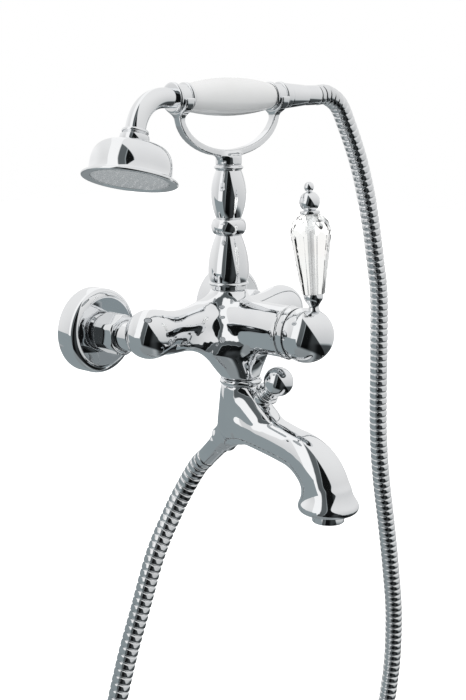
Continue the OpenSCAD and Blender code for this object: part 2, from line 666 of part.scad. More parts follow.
module aerator_insert() color("whitesmoke") translate([0, -outlet_out, 0]) {
    r = aerator_d / 2 - 2.4 - fit;
    difference() {
        rod(r, lip_z - aerator_out + 1, lip_z + 6);
        for (k = [0:11]) rotate(30 * k) translate([r * 0.62, 0, 0])
            rod(0.9, lip_z - aerator_out, lip_z + 7);
    }
}
module aerator_washer() color("dimgray") translate([0, -outlet_out, 0])
    tube(aerator_d / 2 - 1, aerator_d / 2 - 3.6, lip_z + 7, lip_z + 8.6);

stem_r = diverter_stem_d / 2;
module diverter_bonnet() color("gainsboro") on_valve() {
    turned([[stem_r + running, boss_top - 9], [bonnet_r - 1.4 - fit, boss_top - 9],
        [bonnet_r - 1.4 - fit, boss_top], [bonnet_r, boss_top], [bonnet_r, bonnet_top - 1],
        [bonnet_r - 1, bonnet_top], [stem_r + running, bonnet_top]]);
}
valve_seat = -diverter_travel;
module diverter_stem() color("silver") on_valve() rod(stem_r, valve_seat, knob_s - knob_d / 4);
module diverter_valve() color("goldenrod") on_valve()
    tube(ferrule_thread_r - 0.8, stem_r + fit, valve_seat + 1, valve_seat + 5);
module diverter_o_ring() color("dimgray") on_valve()
    translate([0, 0, valve_seat + 5.65]) rotate_extrude()
        translate([ferrule_thread_r - 1.55, 0]) circle(r = 0.6);
module diverter_knob() color("gainsboro") on_valve() difference() {
    base = bonnet_top + knob_gap;
    union() {
        turned(concat([[0, base], [knob_flange_r - 1, base]],
            round_pts(knob_flange_r - 1, base + 1.2, 1.2, -90, 90),
            [[knob_flange_r - 2.4, base + 2.4], [knob_flange_r - 2.4, base + 3.4],
                [knob_flange_r - 1.2, base + 3.8], [knob_flange_r - 1.2, base + 5.4],
                [5.6, base + 6.4], [5.6, knob_s], [0, knob_s]]));
        translate([0, 0, knob_s]) sphere(d = knob_d);
    }
    rod(stem_r + fit, base - 1, knob_s - knob_d / 4 + 0.2);
}

module lower_hose_ferrule() color("gainsboro") on_valve() turned([
    [hose_bore / 2, -outlet_boss_end + ferrule_thread_len],
    [ferrule_thread_r, -outlet_boss_end + ferrule_thread_len],
    [ferrule_thread_r, -outlet_boss_end], [ferrule_r, -outlet_boss_end],
    [ferrule_r, -outlet_boss_end - 6], [ferrule_end_r, -ferrule_end], [hose_bore / 2, -ferrule_end]]);
module lower_hose_washer() color("dimgray") on_valve() tube(ferrule_thread_r, hose_bore / 2,
    -outlet_boss_end + ferrule_thread_len, -outlet_boss_end + ferrule_thread_len + washer_t);

// Route of the hose, chosen by hand: from the handset, down, round the loop and up to the spout.
hose_start = collar_x1 + hose_nut_len + upper_sleeve_len + hose_in;
function below_ferrule(d) = [0, -spout_out + (ferrule_end + d) * sin(valve_slant),
    -valve_z - (ferrule_end + d) * cos(valve_slant)];
hose_route = [
    [hose_start, -column_out, handset_z], [118, -column_out, 175], [134, -column_out, 167],
    [146, -column_out, 150], [161, -column_out, 124], [173, -column_out, 96], [183, -column_out, 65],
    [191, -column_out, 33], [198, -column_out, 0], [200, -column_out, -48], [201, -column_out, -95],
    [203, -column_out, -132], [209, -column_out, -173], [219, -column_out, -219], [229, -column_out, -270],
    [236, -column_out, -320], [236, -75, -380], [222, -72, -450], [190, -68, -520], [140, -62, -575],
    [85, -56, -603], [30, -50, -600], [-22, -44, -568], [-60, -38, -515], [-84, -33, -450],
    [-92, -29, -385], [-84, -26, -325], [-68, -25, -275], [-51, -25, -234], [-32, -25, -190],
    [-13, -27, -158], [-4, -32, -139],
    below_ferrule(14), below_ferrule(hose_in)];
// Smooth curve through the route's points.
function spline(a, b, c, d, t) = 0.5 * (2 * b + (c - a) * t + (2 * a - 5 * b + 4 * c - d) * t * t
    + (3 * b - a - 3 * c + d) * t * t * t);
function route_at(u) = let (n = len(hose_route) - 1, i = min(floor(u), n - 1), p = hose_route)
    spline(i > 0 ? p[i - 1] : 2 * p[0] - p[1], p[i], p[i + 1],
        i + 2 <= n ? p[i + 2] : 2 * p[n] - p[n - 1], u - i);
fine_steps = 12;
fine = [for (k = [0:fine_steps * (len(hose_route) - 1)]) route_at(k / fine_steps)];
// Length of the route up to each fine point.
function run_sum(p, i = 1, acc = [0]) =
    i >= len(p) ? acc : run_sum(p, i + 1, concat(acc, [acc[i - 1] + norm(p[i] - p[i - 1])]));
fine_run = run_sum(fine);
hose_len = fine_run[len(fine_run) - 1];
function at_run(s) = lookup_point(s, search_run(s, 0, len(fine_run) - 1));
function search_run(s, lo, hi) = hi - lo <= 1 ? lo
    : let (mid = floor((lo + hi) / 2)) fine_run[mid] <= s ? search_run(s, mid, hi) : search_run(s, lo, mid);
function lookup_point(s, i) = let (span = fine_run[i + 1] - fine_run[i])
    fine[i] + (fine[i + 1] - fine[i]) * (s - fine_run[i]) / span;
function unit(v) = v / norm(v);
function tangent_at(s) = unit(at_run(min(s + 1, hose_len)) - at_run(max(s - 1, 0)));
// Ring of points round the route at run s, radius r.
function hose_ring(s, r, sides = 8) = let (c = at_run(s), t = tangent_at(s),
    u = unit(cross(t, [0, 1, 0])), v = cross(t, u))
    [for (k = [0:sides - 1]) let (a = 360 * k / sides) c + r * cos(a) * u + r * sin(a) * v];
module shower_hose() color("silver") {
    sides = 8;
    outer = 2 * rib_count + 1;
    inner = 80;
    crest = hose_d / 2;
    points = concat(
        [for (i = [0:outer - 1])
            each hose_ring(hose_len * i / (outer - 1), i % 2 == 0 ? crest - rib_depth : crest)],
        [for (i = [0:inner - 1]) each hose_ring(hose_len * i / (inner - 1), hose_bore / 2)]);
    base = outer * sides;
    polyhedron(points, concat(
        [for (i = [0:outer - 2]) for (k = [0:sides - 1]) let (m = (k + 1) % sides)
            each [[i * sides + k, (i + 1) * sides + m, (i + 1) * sides + k],
                [i * sides + k, i * sides + m, (i + 1) * sides + m]]],
        [for (i = [0:inner - 2]) for (k = [0:sides - 1]) let (m = (k + 1) % sides, a = base + i * sides)
            each [[a + k, a + sides + k, a + sides + m], [a + k, a + sides + m, a + m]]],
        [for (k = [0:sides - 1]) let (m = (k + 1) % sides) each [[k, base + k, base + m], [k, base + m, m]]],
        [for (k = [0:sides - 1])
            let (m = (k + 1) % sides, a = (outer - 1) * sides, b = base + (inner - 1) * sides)
            each [[a + k, b + m, b + k], [a + k, a + m, b + m]]]));
}
echo(hose_length = hose_len);

module head_shell_profile(inset) turned(concat(
    [[0, head_nut_h]], [[head_nut_d / 2 - 1 - inset, head_nut_h + inset]],
    [for (i = [0:16]) let (a = 90 - 90 / 16 * i)
        [head_nut_d / 2 - 1 + (dome_d / 2 - head_nut_d / 2 + 1 - inset) * pow(cos(a), dome_square),
            head_nut_h + dome_h - (dome_h - inset) * pow(sin(a), dome_square)]],
    [[dome_d / 2 - inset, head_nut_h + dome_h + (inset > 0 ? rim_t + 1 : 0)],
        [0, head_nut_h + dome_h + (inset > 0 ? rim_t + 1 : 0)]]));
module handset_head() color("gainsboro") on_head() difference() {
    union() {
        head_shell_profile(0);
        rod(head_nut_d / 2 - 3, 2, head_nut_h + 1);
        turned(concat([[0, head_nut_h + dome_h], [dome_d / 2, head_nut_h + dome_h - 1]],
            round_pts(head_rim_d / 2 - 0.8, head_nut_h + dome_h + rim_t - 0.8, 0.8, -60, 90, 6),
            [[0, head_nut_h + dome_h + rim_t]]));
    }
    head_shell_profile(head_wall);
    rod(head_nut_d / 2 - 3 - head_wall, 1, head_nut_h + dome_h);
}
plate_z = head_nut_h + dome_h + rim_t - plate_t;
module spray_plate() color("lightgray") on_head() difference() {
    rod(dome_d / 2 - head_wall - fit, plate_z, plate_z + plate_t);
    for (ring = [1:4]) for (k = [0:6 * ring - 1]) rotate(60 * k / ring)
        translate([dome_d / 11 * ring, 0, 0]) rod(0.7, plate_z - 1, plate_z + plate_t + 1);
}
module spray_gasket() color("dimgray") on_head()
    tube(dome_d / 2 - head_wall - 0.4, dome_d / 2 - head_wall - 3.4, plate_z - 1.4, plate_z);
module head_nut() color("gainsboro") on_head() difference() {
    turned([[0, 0], [head_nut_d / 2 - 1.8, 0], [head_nut_d / 2 - 0.8, 1], [head_nut_d / 2 - 0.8, 2.6],
        [head_nut_d / 2 - 1.6, 3.4], [head_nut_d / 2, 4.4], [head_nut_d / 2, head_nut_h - 1],
        [head_nut_d / 2 - 1, head_nut_h], [0, head_nut_h]]);
    rod(neck_tube_d / 2 - 1.2, -1, 2);
    rod(head_nut_d / 2 - 3 + slip, 2, head_nut_h + 1);
}
// The neck as a solid of radius r: straight part and bend.
module neck_run(r) {
    on_handset() rod(r, -collar_x1 - neck_straight, -collar_x1);
    translate([0, -column_out, handset_z]) rotate([-head_roll, 0, 0])
        translate([-collar_x1 - neck_straight, 0, -neck_bend_r]) rotate([90, 0, 0]) rotate([0, 0, 90])
        rotate_extrude(angle = neck_end_angle) translate([neck_bend_r, 0]) circle(r = r);
}
module handset_neck() color("gainsboro") difference() {
    neck_run(neck_tube_d / 2);
    neck_run(neck_tube_d / 2 - neck_wall_t);
}
// Collar with a rim against the porcelain grip and a seat for the cradle's yoke.
module grip_collar(s) color("gainsboro") on_handset() mirror([0, 0, s < 0 ? 1 : 0])
    turned(concat([[grip_tube_d / 2 + fit, collar_x0]], [[grip_end_d / 2, collar_x0]],
        round_pts(rim_d / 2 - 1, collar_x0 + 1.2, 1, -90, 90), [[seat_r, collar_x0 + 2.6],
            [seat_r, collar_x1 - 2.6]], round_pts(rim_d / 2 - 1, collar_x1 - 1.2, 1, -90, 90),
        [[grip_tube_d / 2 + collar_lip, collar_x1], [grip_tube_d / 2 + fit, collar_x1]]));
module front_collar() grip_collar(-1);
module rear_collar() grip_collar(1);
module grip_sleeve() color("white") on_handset() turned(concat([[grip_tube_d / 2 + 0.4, -grip_len / 2]],
    [for (i = [0:16]) let (t = i / 8 - 1)
        [grip_end_d / 2 + (grip_d - grip_end_d) / 2 * (1 - t * t), t * grip_len / 2]],
    [[grip_tube_d / 2 + 0.4, grip_len / 2]]));
module grip_tube() color("goldenrod") on_handset()
    tube(grip_tube_d / 2, grip_tube_d / 2 - 1.2, -collar_x1, collar_x1);
module upper_hose_nut() color("gainsboro") on_handset() difference() {
    x0 = collar_x1;
    turned(concat([[0, x0], [upper_nut_r - 0.8, x0], [upper_nut_r, x0 + 1]],
        flare(upper_nut_r, x0 + 9, upper_sleeve_r + 0.4, x0 + hose_nut_len), [[0, x0 + hose_nut_len]]));
    rod(hose_bore / 2, x0 - 1, x0 + hose_nut_len + 1);
}
module upper_hose_sleeve() color("silver") on_handset() {
    x0 = collar_x1 + hose_nut_len;
    turned([[hose_bore / 2, x0], [upper_sleeve_r, x0], [upper_sleeve_r, x0 + upper_sleeve_len - 2],
        [hose_d / 2, x0 + upper_sleeve_len], [hose_bore / 2, x0 + upper_sleeve_len]]);
}
module upper_hose_washer() color("dimgray") on_handset()
    tube(grip_tube_d / 2 - 1.2 - fit, hose_bore / 2, collar_x1 - washer_t, collar_x1);

left_wall_union();
right_wall_union();
left_wall_flange();
right_wall_flange();
left_union_nut();
right_union_nut();
inlet_washers();
mixer_body();
cartridge_barrel();
cartridge_seals();
cartridge_nut();
trim_collar();
spindle();
tilt_pin();
ceramic_disc();
lever_stem();
lever_ball();
lever_shank();
crystal_grip();
grip_tie_rod();
grip_cap();
lever_finial();
lever_grub_screw();
column_base_ring();
lower_baluster();
column_bead();
upper_baluster();
column_top_ring();
column_stud();
cradle_fork();
spout_ring();
spout_nipple();
spout();
aerator_housing();
aerator_insert();
aerator_washer();
diverter_bonnet();
diverter_stem();
diverter_knob();
diverter_valve();
diverter_o_ring();
lower_hose_ferrule();
lower_hose_washer();
shower_hose();
handset_head();
spray_plate();
spray_gasket();
head_nut();
handset_neck();
front_collar();
grip_sleeve();
grip_tube();
rear_collar();
upper_hose_nut();
upper_hose_sleeve();
upper_hose_washer();
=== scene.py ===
"""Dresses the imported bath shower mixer: polished castings, turned chrome, crystal, porcelain and hose.

Pieces are shaped in millimetres and put in metres. The wall is at y = 0, x runs along it, the mixer stands out
towards -y, and z is the height above the inlets. A field named out is a distance from the wall.
"""

from __future__ import annotations

import json
import logging
import math
from dataclasses import dataclass, field
from enum import Enum

import bmesh
import bpy
from mathutils import Matrix, Vector

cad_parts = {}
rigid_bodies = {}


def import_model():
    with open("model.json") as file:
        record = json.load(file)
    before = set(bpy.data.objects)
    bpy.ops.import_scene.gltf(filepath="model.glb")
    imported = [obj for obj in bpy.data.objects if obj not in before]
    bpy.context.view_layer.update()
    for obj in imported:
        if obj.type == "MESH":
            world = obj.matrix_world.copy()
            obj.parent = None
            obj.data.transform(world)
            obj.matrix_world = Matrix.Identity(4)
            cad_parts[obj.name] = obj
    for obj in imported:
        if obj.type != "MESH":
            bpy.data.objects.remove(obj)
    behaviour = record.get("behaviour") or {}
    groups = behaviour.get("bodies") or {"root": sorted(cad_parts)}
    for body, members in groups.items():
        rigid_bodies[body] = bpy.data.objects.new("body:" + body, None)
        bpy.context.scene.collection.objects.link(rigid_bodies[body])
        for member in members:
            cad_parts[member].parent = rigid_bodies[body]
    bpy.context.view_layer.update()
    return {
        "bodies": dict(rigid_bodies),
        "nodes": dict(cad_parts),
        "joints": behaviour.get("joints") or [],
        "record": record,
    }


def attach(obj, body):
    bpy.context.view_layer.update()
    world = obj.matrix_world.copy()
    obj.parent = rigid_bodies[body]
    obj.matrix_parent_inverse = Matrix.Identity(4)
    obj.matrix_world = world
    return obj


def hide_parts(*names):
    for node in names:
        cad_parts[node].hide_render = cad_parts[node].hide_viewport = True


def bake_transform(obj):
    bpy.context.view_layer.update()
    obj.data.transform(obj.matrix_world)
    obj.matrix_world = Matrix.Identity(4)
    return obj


LOG = logging.getLogger("bath_mixer")
MM = 0.001
Profile = list[tuple[float, float]]
Triple = tuple[float, float, float]
Mesh = bmesh.types.BMesh
Socket = bpy.types.NodeSocket
Nodes = dict[str, bpy.types.Object]


class Body(Enum):
    """The CAD bodies that pieces ride on."""

    MIXER = "mixer"
    LEVER = "lever"
    DIVERTER = "diverter"
    HANDSET = "handset"


# Finishes


class NodeTree:
    """Small helper that adds and links shader nodes in one tree."""

    def __init__(self, tree: bpy.types.NodeTree) -> None:
        """Keep the tree and empty it."""
        self.tree = tree
        tree.nodes.clear()

    def add(self, kind: str, inputs: dict[str, object] | None = None, **settings: object) -> bpy.types.Node:
        """Add a node.

        Args:
            kind: The node's type, such as ShaderNodeMath.
            inputs: What feeds its named inputs.
            settings: Attributes set on the node.

        Returns:
            The new node.
        """
        node = self.tree.nodes.new(kind)
        for key, value in settings.items():
            setattr(node, key, value)
        for name, source in (inputs or {}).items():
            self.feed(node.inputs[name], source)
        return node

    def feed(self, socket: Socket, source: object) -> None:
        """Link a node's first output or an output socket to a socket, or set a plain value.

        Args:
            socket: The input to feed.
            source: A node, an output socket, or a value.
        """
        if isinstance(source, bpy.types.Node):
            self.tree.links.new(source.outputs[0], socket)
        elif isinstance(source, Socket):
            self.tree.links.new(source, socket)
        else:
            socket.default_value = source

    def surface(self, shader: bpy.types.Node) -> None:
        """Make a shader the material's surface."""
        self.add("ShaderNodeOutputMaterial", {"Surface": shader})

    def math(self, operation: str, *values: object) -> Socket:
        """Add a Math node.

        Args:
            operation: The node's operation.
            values: What feeds its inputs.

        Returns:
            The result's socket.
        """
        node = self.add("ShaderNodeMath", operation=operation)
        for socket, value in zip(node.inputs, values):
            self.feed(socket, value)
        return node.outputs[0]

    def times(self, first: object, second: object) -> Socket:
        """Product of two values."""
        return self.math("MULTIPLY", first, second)

    def dim(self, value: object, mask: object, share: float) -> Socket:
        """Take a share off a value where a mask is set."""
        return self.times(value, self.math("MULTIPLY_ADD", mask, -share, 1.0))

    def dot(self, vector: object, constant: Triple) -> Socket:
        """Dot product of a vector socket with a constant.

        Args:
            vector: The vector's source.
            constant: The vector that it is multiplied with.

        Returns:
            The value's socket.
        """
        node = self.add("ShaderNodeVectorMath", operation="DOT_PRODUCT")
        self.feed(node.inputs[0], vector)
        node.inputs[1].default_value = constant
        return node.outputs["Value"]

    def ramp(self, value: object, low: float, high: float, start: float = 0.0, end: float = 1.0) -> Socket:
        """Smooth step of a value.

        Args:
            value: What feeds it.
            low: Where the step starts.
            high: Where the step ends.
            start: The result below low.
            end: The result above high.

        Returns:
            The result's socket.
        """
        node = self.add("ShaderNodeMapRange", interpolation_type="SMOOTHSTEP")
        for socket, source in zip(node.inputs, (value, low, high, start, end)):
            self.feed(socket, source)
        return node.outputs[0]

    def mix(self, factor: object, first: object, second: object) -> Socket:
        """Mix of two colours.

        Args:
            factor: The share of the second colour.
            first: The first colour, as RGBA or a socket.
            second: The second colour, as RGBA or a socket.

        Returns:
            The colour's socket.
        """
        node = self.add("ShaderNodeMix", data_type="RGBA")
        self.feed(node.inputs[0], factor)
        self.feed(node.inputs[6], first)
        self.feed(node.inputs[7], second)
        return node.outputs[2]


def new_material(name: str) -> tuple[bpy.types.Material, NodeTree]:
    """Start a material with an empty node tree."""
    made = bpy.data.materials.new(name)
    made.use_nodes = True
    return made, NodeTree(made.node_tree)


def handling_group() -> bpy.types.NodeTree:
    """Group for the marks of polishing and handling that every finish shares.

    Returns:
        The node group, with Roughness, Tint and Height outputs.
    """
    name = "polish_and_handling"
    found = bpy.data.node_groups.get(name)
    if found:
        return found
    tree = bpy.data.node_groups.new(name, "ShaderNodeTree")
    for label, kind in (("Vector", "NodeSocketVector"), ("Scale", "NodeSocketFloat"),
                        ("Smooth", "NodeSocketFloat"), ("Dull", "NodeSocketFloat")):
        tree.interface.new_socket(label, in_out="INPUT", socket_type=kind)
    for label in ("Roughness", "Tint", "Height"):
        tree.interface.new_socket(label, in_out="OUTPUT", socket_type="NodeSocketFloat")
    shop = NodeTree(tree)
    given = shop.add("NodeGroupInput").outputs
    fine_scale = shop.times(given["Scale"], 14.0)
    broad = shop.add("ShaderNodeTexNoise", {"Vector": given["Vector"], "Scale": given["Scale"], "Detail": 5.0})
    fine = shop.add("ShaderNodeTexNoise", {"Vector": given["Vector"], "Scale": fine_scale, "Detail": 3.0})
    patches = shop.ramp(broad.outputs[0], 0.42, 0.7)
    spread = shop.math("SUBTRACT", given["Dull"], given["Smooth"])
    grain = shop.math("MULTIPLY_ADD", fine.outputs[0], 0.35, shop.times(patches, 0.65))
    rough = shop.math("MULTIPLY_ADD", grain, spread, given["Smooth"])
    shop.add("NodeGroupOutput", {"Roughness": rough, "Tint": patches, "Height": fine.outputs[0]})
    return tree


@dataclass(frozen=True)
class Finish:
    """A procedural finish: two close tints, a range of gloss and a fine relief.

    Roughness runs from smooth to dull in patches of the given scale, and relief is a depth in millimetres.
    """

    name: str
    slot: str
    tint: Triple
    worn_tint: Triple
    smooth: float
    dull: float
    scale: float
    relief: float
    metallic: float = 0.0
    coat: float = 0.0
    specular: float = 0.5

    def material(self) -> bpy.types.Material:
        """Build the material once.

        Returns:
            The material with this finish's name.
        """
        found = bpy.data.materials.get(self.name)
        if found:
            return found
        made, shop = new_material(self.name)
        where = shop.add("ShaderNodeTexCoord").outputs["Object"]
        gloss = {"Vector": where, "Scale": self.scale, "Smooth": self.smooth, "Dull": self.dull}
        marks = shop.add("ShaderNodeGroup", gloss, node_tree=handling_group())
        tint = shop.mix(marks.outputs["Tint"], (*self.tint, 1.0), (*self.worn_tint, 1.0))
        shader = shop.add("ShaderNodeBsdfPrincipled", {
            "Base Color": tint, "Roughness": marks.outputs["Roughness"], "Metallic": self.metallic,
            "Coat Weight": self.coat, "Specular IOR Level": self.specular})
        if self.relief > 0:
            bump = shop.add("ShaderNodeBump", {
                "Strength": 1.0, "Distance": self.relief * MM, "Height": marks.outputs["Height"]})
            shop.feed(shader.inputs["Normal"], bump)
        shop.surface(shader)
        return made


@dataclass(frozen=True)
class CrystalFinish:
    """Clear cut crystal with a trace of warm and green colour in its depth."""

    name: str = "cut_crystal"
    slot: str = "crystal"
    tint: Triple = (0.97, 0.985, 0.975)
    depth_tint: Triple = (0.985, 0.975, 0.955)
    ior: float = 1.54
    veil_scale: float = 45.0

    def material(self) -> bpy.types.Material:
        """Build the material once.

        Returns:
            The crystal material.
        """
        found = bpy.data.materials.get(self.name)
        if found:
            return found
        made, shop = new_material(self.name)
        where = shop.add("ShaderNodeTexCoord").outputs["Object"]
        veil = shop.add("ShaderNodeTexNoise", {"Vector": where, "Scale": self.veil_scale})
        depth = shop.ramp(veil.outputs[0], 0.35, 0.65)
        tint = shop.mix(depth, (*self.tint, 1.0), (*self.depth_tint, 1.0))
        shop.surface(shop.add("ShaderNodeBsdfPrincipled", {
            "Base Color": tint, "Roughness": 0.0, "Transmission Weight": 1.0, "IOR": self.ior}))
        return made


CHROME = Finish("polished_chrome", "chrome_plate", (0.90, 0.91, 0.92), (0.87, 0.88, 0.895),
                0.015, 0.05, 38.0, 0.0, metallic=1.0)
HOSE_STRIP = Finish("interlocked_strip", "chrome_hose", (0.84, 0.85, 0.86), (0.78, 0.79, 0.80),
                    0.06, 0.16, 90.0, 0.006, metallic=1.0)
PORCELAIN = Finish("glazed_porcelain", "porcelain", (0.90, 0.90, 0.90), (0.88, 0.88, 0.875),
                   0.05, 0.10, 24.0, 0.004, coat=0.6)
BRASS = Finish("turned_brass", "brass", (0.80, 0.60, 0.27), (0.70, 0.50, 0.22),
               0.22, 0.38, 60.0, 0.02, metallic=1.0)
STEEL = Finish("plain_steel", "steel", (0.70, 0.71, 0.72), (0.62, 0.63, 0.64),
               0.20, 0.36, 80.0, 0.015, metallic=1.0)
RUBBER = Finish("black_rubber", "rubber", (0.025, 0.025, 0.025), (0.04, 0.04, 0.04),
                0.60, 0.80, 120.0, 0.03)
WHITE_PLASTIC = Finish("white_acetal", "white_plastic", (0.86, 0.86, 0.84), (0.82, 0.82, 0.79),
                       0.35, 0.50, 70.0, 0.02)
ALUMINA = Finish("ground_alumina", "ceramic", (0.88, 0.87, 0.82), (0.84, 0.83, 0.78),
                 0.18, 0.30, 50.0, 0.01)
SPRAY_FACE = Finish("spray_face_plate", "spray_face", (0.92, 0.93, 0.94), (0.86, 0.87, 0.88),
                    0.22, 0.36, 110.0, 0.01)
CRYSTAL = CrystalFinish()


# Mesh work


def wall_frame(x: float, z: float) -> Matrix:
    """Frame whose local +Z points out of the wall at (x, z), in millimetres."""
    return Matrix.Translation((x, 0, z)) @ Matrix.Rotation(math.radians(90), 4, "X")


def arc(cr: float, cz: float, r: float, start: float, end: float, count: int = 12) -> Profile:
    """Points of an arc in a turned profile.

    Args:
        cr: Radius of the arc's centre.
        cz: Height of the arc's centre.
        r: The arc's own radius.
        start: First angle, in degrees.
        end: Last angle, in degrees.
        count: Number of steps.

    Returns:
        The points, from start to end.
    """
    turns = [math.radians(start + (end - start) * i / count) for i in range(count + 1)]
    return [(max(cr + r * math.cos(t), 0.0), cz + r * math.sin(t)) for t in turns]


def swell(r0: float, z0: float, r1: float, z1: float, power: float, count: int = 20) -> Profile:
    """Points of a curve that leaves [r0, z0] upright and reaches [r1, z1] at its steepest.

    Args:
        r0: First radius.
        z0: First height.
        r1: Last radius.
        z1: Last height.
        power: How late the curve turns in.
        count: Number of steps.

    Returns:
        The points, from first to last.
    """
    return [(r0 + (r1 - r0) * (i / count) ** power, z0 + (z1 - z0) * i / count) for i in range(count + 1)]


def ease(r0: float, z0: float, r1: float, z1: float, count: int = 16) -> Profile:
    """Points of an S-shaped flare between two radii.

    Args:
        r0: First radius.
        z0: First height.
        r1: Last radius.
        z1: Last height.
        count: Number of steps.

    Returns:
        The points, from first to last.
    """
    steps = [i / count for i in range(count + 1)]
    return [(r0 + (r1 - r0) * (1 - math.cos(math.pi * t)) / 2, z0 + (z1 - z0) * t) for t in steps]


@dataclass
class Piece:
    """A finished piece: its name, the nodes it stands for, its body and its finish.

    The body is None for a piece that lies between two bodies and is attached to neither.
    """

    name: str
    nodes: tuple[str, ...]
    body: Body | None
    finish: Finish | CrystalFinish
    sharp: float = 32.0

    def put(self, bm: Mesh, frame: Matrix = Matrix.Identity(4)) -> bpy.types.Object:
        """Turn a bmesh in millimetres into the piece's object.

        Args:
            bm: The mesh, in its own frame. It is freed.
            frame: Where it sits in the row frame, in millimetres.

        Returns:
            The new object, at the origin with its place in its mesh.
        """
        bmesh.ops.transform(bm, matrix=Matrix.Scale(MM, 4) @ frame, verts=bm.verts[:])
        limit = math.radians(self.sharp)
        for face in bm.faces:
            face.smooth = True
        for edge in bm.edges:
            edge.smooth = len(edge.link_faces) == 2 and edge.calc_face_angle(0.0) < limit
        mesh = bpy.data.meshes.new(self.name)
        bm.to_mesh(mesh)
        bm.free()
        return self.adopt(bpy.data.objects.new(self.name, mesh))

    def adopt(self, obj: bpy.types.Object) -> bpy.types.Object:
        """Link the object, dress it and hide the CAD nodes it stands for.

        Args:
            obj: The piece's object.

        Returns:
            The same object.
        """
        bpy.context.scene.collection.objects.link(obj)
        obj.data.materials.append(self.finish.material())
        if self.body:
            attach(obj, self.body.value)
        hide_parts(*self.nodes)
        LOG.info("%s: %d faces", self.name, len(obj.data.polygons))
        return obj


def lathe(profile: Profile, soften: float = 0.3, steps: int = 96, ring: bool = False) -> Mesh:
    """Spin a profile about the local Z axis.

    Args:
        profile: Radius and height of each point, in millimetres.
        soften: Rounding of the profile's corners.
        steps: Number of steps round the axis.
        ring: Whether the profile closes on itself, as for a piece with a bore.

    Returns:
        The turned mesh.
    """
    bm = bmesh.new()
    points = [bm.verts.new((r, 0, z)) for r, z in profile]
    for first, second in zip(points, points[1:]):
        bm.edges.new((first, second))
    if ring:
        bm.edges.new((points[-1], points[0]))
    corners = [v for v in points if v.co.x > 0.01 and len(v.link_edges) == 2 and is_corner(v)]
    if soften > 0 and corners:
        bmesh.ops.bevel(bm, geom=corners, offset=soften, offset_type="OFFSET", segments=4, profile=0.5,
                        affect="VERTICES", clamp_overlap=True, material=-1)
    bmesh.ops.spin(bm, geom=bm.verts[:] + bm.edges[:], cent=(0, 0, 0), axis=(0, 0, 1), angle=math.tau,
                   steps=steps, use_merge=True)
    bmesh.ops.remove_doubles(bm, verts=bm.verts[:], dist=1e-4)
    bmesh.ops.delete(bm, geom=[e for e in bm.edges if not e.link_faces], context="EDGES")
    bmesh.ops.recalc_face_normals(bm, faces=bm.faces[:])
    return bm


def is_corner(vert: bmesh.types.BMVert, limit: float = 28.0) -> bool:
    """Whether a profile turns by more than a limit in degrees at this point."""
    ways = [(edge.other_vert(vert).co - vert.co).normalized() for edge in vert.link_edges]
    return ways[0].angle(-ways[1]) > math.radians(limit)


def bored(radius: float, outline: Profile) -> Profile:
    """Close a turned piece's outline along a bore of this radius."""
    return [(radius, outline[0][1]), *outline, (radius, outline[-1][1])]


def turned(name: str, node: str, body: Body, profile: Profile, frame: Matrix, soften: float,
           steps: int = 96) -> None:
    """Make a bored chrome piece on the lathe.

    Args:
        name: The piece's name, without the word turned before it.
        node: The node it stands for.
        body: The body it rides on.
        profile: Its closed profile.
        frame: Where it sits.
        soften: Rounding of its corners.
        steps: Number of steps round its axis.
    """
    Piece(f"turned_{name}", (node,), body, CHROME).put(lathe(profile, soften, steps, True), frame)


def node_copy(node: bpy.types.Object) -> Mesh:
    """Copy a CAD node's mesh, joined where its corners meet.

    Args:
        node: The CAD node's object.

    Returns:
        The mesh, in millimetres.
    """
    bm = bmesh.new()
    bm.from_mesh(node.data)
    bmesh.ops.transform(bm, matrix=Matrix.Scale(1 / MM, 4), verts=bm.verts[:])
    bmesh.ops.remove_doubles(bm, verts=bm.verts[:], dist=1e-3)
    return bm


@dataclass(frozen=True)
class Skin:
    """How a casting's skin is made: size of the remesh, radius of its fillets, number of smoothing steps."""

    voxel: float
    fill: float
    relax: int


def cast(rough: Mesh, skin: Skin, cutters: tuple[Mesh, ...] = ()) -> Mesh:
    """Run the shapes of a casting together, with its inner corners filled as a polished casting has them.

    Args:
        rough: The shapes, which may overlap, in millimetres. The mesh is freed.
        skin: How its skin is made. The smoothing follows each of the three remeshes.
        cutters: Shapes cut out at the end. They are freed.

    Returns:
        The casting's skin, in millimetres.
    """
    holder = mesh_holder("casting", rough)
    for growth in (skin.fill, -skin.fill, 0.0):
        holder.modifiers.new("skin", "REMESH").voxel_size = skin.voxel
        smooth = holder.modifiers.new("relax", "SMOOTH")
        smooth.factor = 0.5
        smooth.iterations = skin.relax
        if growth:
            grow = holder.modifiers.new("grow", "DISPLACE")
            grow.mid_level = 0.0
            grow.strength = growth
    tools = [mesh_holder("cutter", cutter) for cutter in cutters]
    for tool in tools:
        cut = holder.modifiers.new("cut", "BOOLEAN")
        cut.operation = "DIFFERENCE"
        cut.object = tool
    bpy.context.view_layer.update()
    made = bpy.data.meshes.new_from_object(holder.evaluated_get(bpy.context.evaluated_depsgraph_get()))
    bm = bmesh.new()
    bm.from_mesh(made)
    bpy.data.meshes.remove(made)
    for used in (holder, *tools):
        bpy.data.meshes.remove(used.data)
    return bm


def mesh_holder(name: str, bm: Mesh) -> bpy.types.Object:
    """Object that holds a mesh for a while. The bmesh is freed."""
    mesh = bpy.data.meshes.new(name)
    bm.to_mesh(mesh)
    bm.free()
    holder = bpy.data.objects.new(name, mesh)
    bpy.context.scene.collection.objects.link(holder)
    return holder


